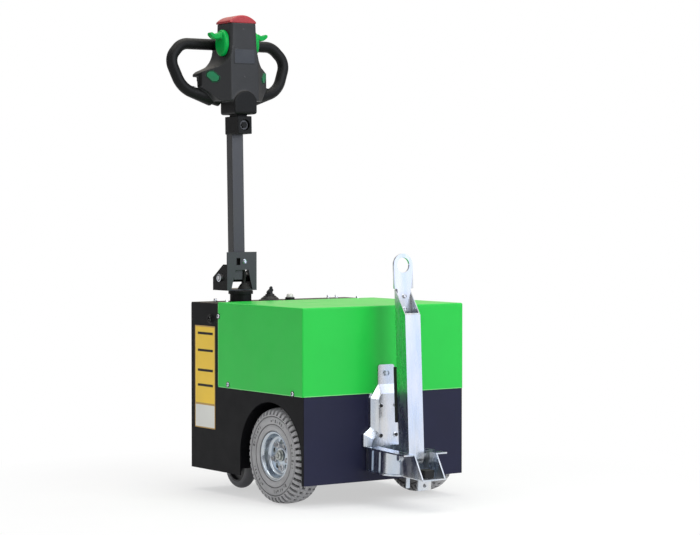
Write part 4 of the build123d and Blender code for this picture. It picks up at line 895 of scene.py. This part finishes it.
# Towing eye: a strap as wide as its ring, stepped in where it enters the drawbar
EYE_HEIGHT, EYE_OUTER, EYE_HOLE = 511, 31, 20.5
STRAP_BACK, STRAP_FRONT = -19.5, -13.5
STRAP_FOOT, STRAP_HALF, STEP_LOW, STEP_HIGH = 366, 21, 447.6, 449
right_side = [(STRAP_HALF - 1, STRAP_FOOT), (STRAP_HALF, STRAP_FOOT + 6), (STRAP_HALF, STEP_LOW),
              (EYE_OUTER, STEP_HIGH)]
ring = [(u, EYE_HEIGHT + v) for u, v in (on_circle(EYE_OUTER, turn) for turn in range(0, 181, 6))]
left_side = [(-u, v) for u, v in reversed(right_side)]
bm, hole = bmesh.new(), bmesh.new()
prism(bm, left_side[-1:] + right_side + ring + left_side[:-1], STRAP_BACK, STRAP_FRONT, "X", bevel=0.5)
lathe(hole, [(-20, 0), (-20, EYE_HOLE), (20, EYE_HOLE), (20, 0)], (-16.5, 0, EYE_HEIGHT), "X", 1, 60)
piece("eye_strap", carve(bm, hole), BAR, "drawbar", ZINC, ("tow_eye",), 30)

bm = bmesh.new()
for z in (428, 393):
    hex_bolt(bm, (-13.6, 0, z), "X", 1, 9.5, 4, 6.4, 8, 2.4)
    hex_bolt(bm, (-22.4, 0, z), "X", -1, 9.5, 4, 6.4, 8)
piece("eye_bolts", bm, BAR, "drawbar", STEEL)

# Block of black rubber on the drawbar's back
bm = bmesh.new()
prism(bm, rectangle(18, 46, -31.6, 0, 2), 92, 240, "Z", bevel=0.8)
piece("bar_dark_block", bm, BAR, "drawbar", RUBBER)


# Floor, light and camera

def seen_by_eye_or_mirror(tree, rays):
    """1 for camera, glossy and transmission rays."""
    total = rays.outputs["Is Camera Ray"]
    for kind in ("Is Glossy Ray", "Is Transmission Ray"):
        either = node(tree, "ShaderNodeMath", operation="MAXIMUM")
        tree.links.new(total, either.inputs[0])
        tree.links.new(rays.outputs[kind], either.inputs[1])
        total = either.outputs["Value"]
    return total


def paper():
    """A pale floor that turns to pure white away from the object."""
    made = bpy.data.materials.new("pale_floor")
    made.use_nodes = True
    tree = made.node_tree
    shader = tree.nodes["Principled BSDF"]
    shader.inputs["Roughness"].default_value = 0.9
    shader.inputs["Specular IOR Level"].default_value = 0.1
    patches = spread(tree, noise(tree, 3), 0.0, 1.0)
    tree.links.new(mixed(tree, patches, (0.86, 0.86, 0.865), (0.9, 0.9, 0.9)), shader.inputs["Base Color"])
    glow = node(tree, "ShaderNodeEmission", Strength=1.0)
    where = node(tree, "ShaderNodeTexCoord")
    length = node(tree, "ShaderNodeVectorMath", operation="LENGTH")
    tree.links.new(where.outputs["Object"], length.inputs[0])
    share = node(tree, "ShaderNodeMath", operation="MULTIPLY")
    tree.links.new(spread(tree, length.outputs["Value"], 0.55, 1.0, 0.35, 1.3), share.inputs[0])
    tree.links.new(seen_by_eye_or_mirror(tree, node(tree, "ShaderNodeLightPath")), share.inputs[1])
    both = node(tree, "ShaderNodeMixShader")
    tree.links.new(share.outputs["Value"], both.inputs["Fac"])
    tree.links.new(shader.outputs["BSDF"], both.inputs[1])
    tree.links.new(glow.outputs["Emission"], both.inputs[2])
    tree.links.new(both.outputs["Shader"], tree.nodes["Material Output"].inputs["Surface"])
    return made


FLOOR_HALF = 30
floor_mesh = bpy.data.meshes.new("floor")
floor_corners = [(FLOOR_HALF * x, FLOOR_HALF * y, 0) for x, y in ((-1, -1), (1, -1), (1, 1), (-1, 1))]
floor_mesh.from_pydata(floor_corners, [], [(0, 1, 2, 3)])
floor_mesh.materials.append(paper())
floor = bpy.data.objects.new("floor", floor_mesh)
bpy.context.scene.collection.objects.link(floor)

# Soft cards that only reflections see: direction, cosines between which they brighten, colour
CARDS = (
    ((0.815, 0.579, 0.0), 0.70, 0.96, (1.42, 1.55, 1.95)),
    ((-0.815, 0.579, 0.05), 0.60, 0.97, (0.40, 0.30, 0.16)),
    ((0.0, 0.0, 1.0), 0.10, 0.90, (0.95, 0.95, 0.9)),
)
CARD_DIM = (0.26, 0.26, 0.28)


def card_light(tree):
    """The colour of the cards in each direction."""
    way = node(tree, "ShaderNodeTexCoord")
    total = None
    for direction, start, end, colour in CARDS:
        facing = node(tree, "ShaderNodeVectorMath", operation="DOT_PRODUCT")
        tree.links.new(way.outputs["Generated"], facing.inputs[0])
        facing.inputs[1].default_value = direction
        amount = spread(tree, facing.outputs["Value"], 0.0, 1.0, start, end)
        if total is None:
            total = mixed(tree, amount, CARD_DIM, colour)
        else:
            both = node(tree, "ShaderNodeVectorMath", operation="ADD")
            tree.links.new(total, both.inputs[0])
            tree.links.new(mixed(tree, amount, (0.0, 0.0, 0.0), colour), both.inputs[1])
            total = both.outputs["Vector"]
    return total


def studio():
    """A soft grey light on the object, white to the eye, with cards in its reflections."""
    world = bpy.data.worlds.new("studio")
    world.use_nodes = True
    tree = world.node_tree
    soft = tree.nodes["Background"]
    soft.inputs["Color"].default_value = (0.93, 0.96, 1.0, 1)
    soft.inputs["Strength"].default_value = 0.42
    rays = node(tree, "ShaderNodeLightPath")
    sky = node(tree, "ShaderNodeBackground", Strength=1.0)
    sky_colour = mixed(tree, rays.outputs["Is Glossy Ray"], (1.0, 1.0, 1.0), card_light(tree))
    tree.links.new(sky_colour, sky.inputs["Color"])
    both = node(tree, "ShaderNodeMixShader")
    tree.links.new(seen_by_eye_or_mirror(tree, rays), both.inputs["Fac"])
    tree.links.new(soft.outputs["Background"], both.inputs[1])
    tree.links.new(sky.outputs["Background"], both.inputs[2])
    tree.links.new(both.outputs["Shader"], tree.nodes["World Output"].inputs["Surface"])
    return world


bpy.context.scene.world = studio()


def lamp(name, place, power, size, colour=(1, 1, 1)):
    """A soft square lamp that points at the middle of the object."""
    data = bpy.data.lights.new(name, "AREA")
    data.energy = power
    data.size = size
    data.color = colour
    made = bpy.data.objects.new(name, data)
    made.location = place
    made.rotation_mode = "QUATERNION"
    made.rotation_quaternion = (Vector((0, 0, 0.5)) - Vector(place)).to_track_quat("-Z", "Y")
    bpy.context.scene.collection.objects.link(made)


lamp("key", (3.4, 0.6, 2.6), 95, 2.4, (0.96, 0.98, 1.0))
lamp("top", (-0.2, 0.2, 3.6), 74, 2.6, (1.0, 0.97, 0.9))
lamp("fill", (0.5, -4.0, 1.9), 20, 2.6)

# Camera of the photograph, in metres and radians: its place from the body, turn about Z and tilt down
CAMERA_PLACE, CAMERA_TURN, CAMERA_TILT = (5.2171, -3.6195, 0.8224), 0.95334, 0.030393
ahead = Vector((-math.sin(CAMERA_TURN) * math.cos(CAMERA_TILT), math.cos(CAMERA_TURN) * math.cos(CAMERA_TILT),
                -math.sin(CAMERA_TILT)))
view = bpy.data.cameras.new("view")
view.sensor_width = 36
view.lens = 116.7
view.clip_end = 60
camera = bpy.data.objects.new("view", view)
camera.location = BODY @ Vector(CAMERA_PLACE)
camera.rotation_mode = "QUATERNION"
camera.rotation_quaternion = ahead.to_track_quat("-Z", "Y")
bpy.context.scene.collection.objects.link(camera)
bpy.context.scene.camera = camera
bpy.context.scene.view_settings.view_transform = "Standard"
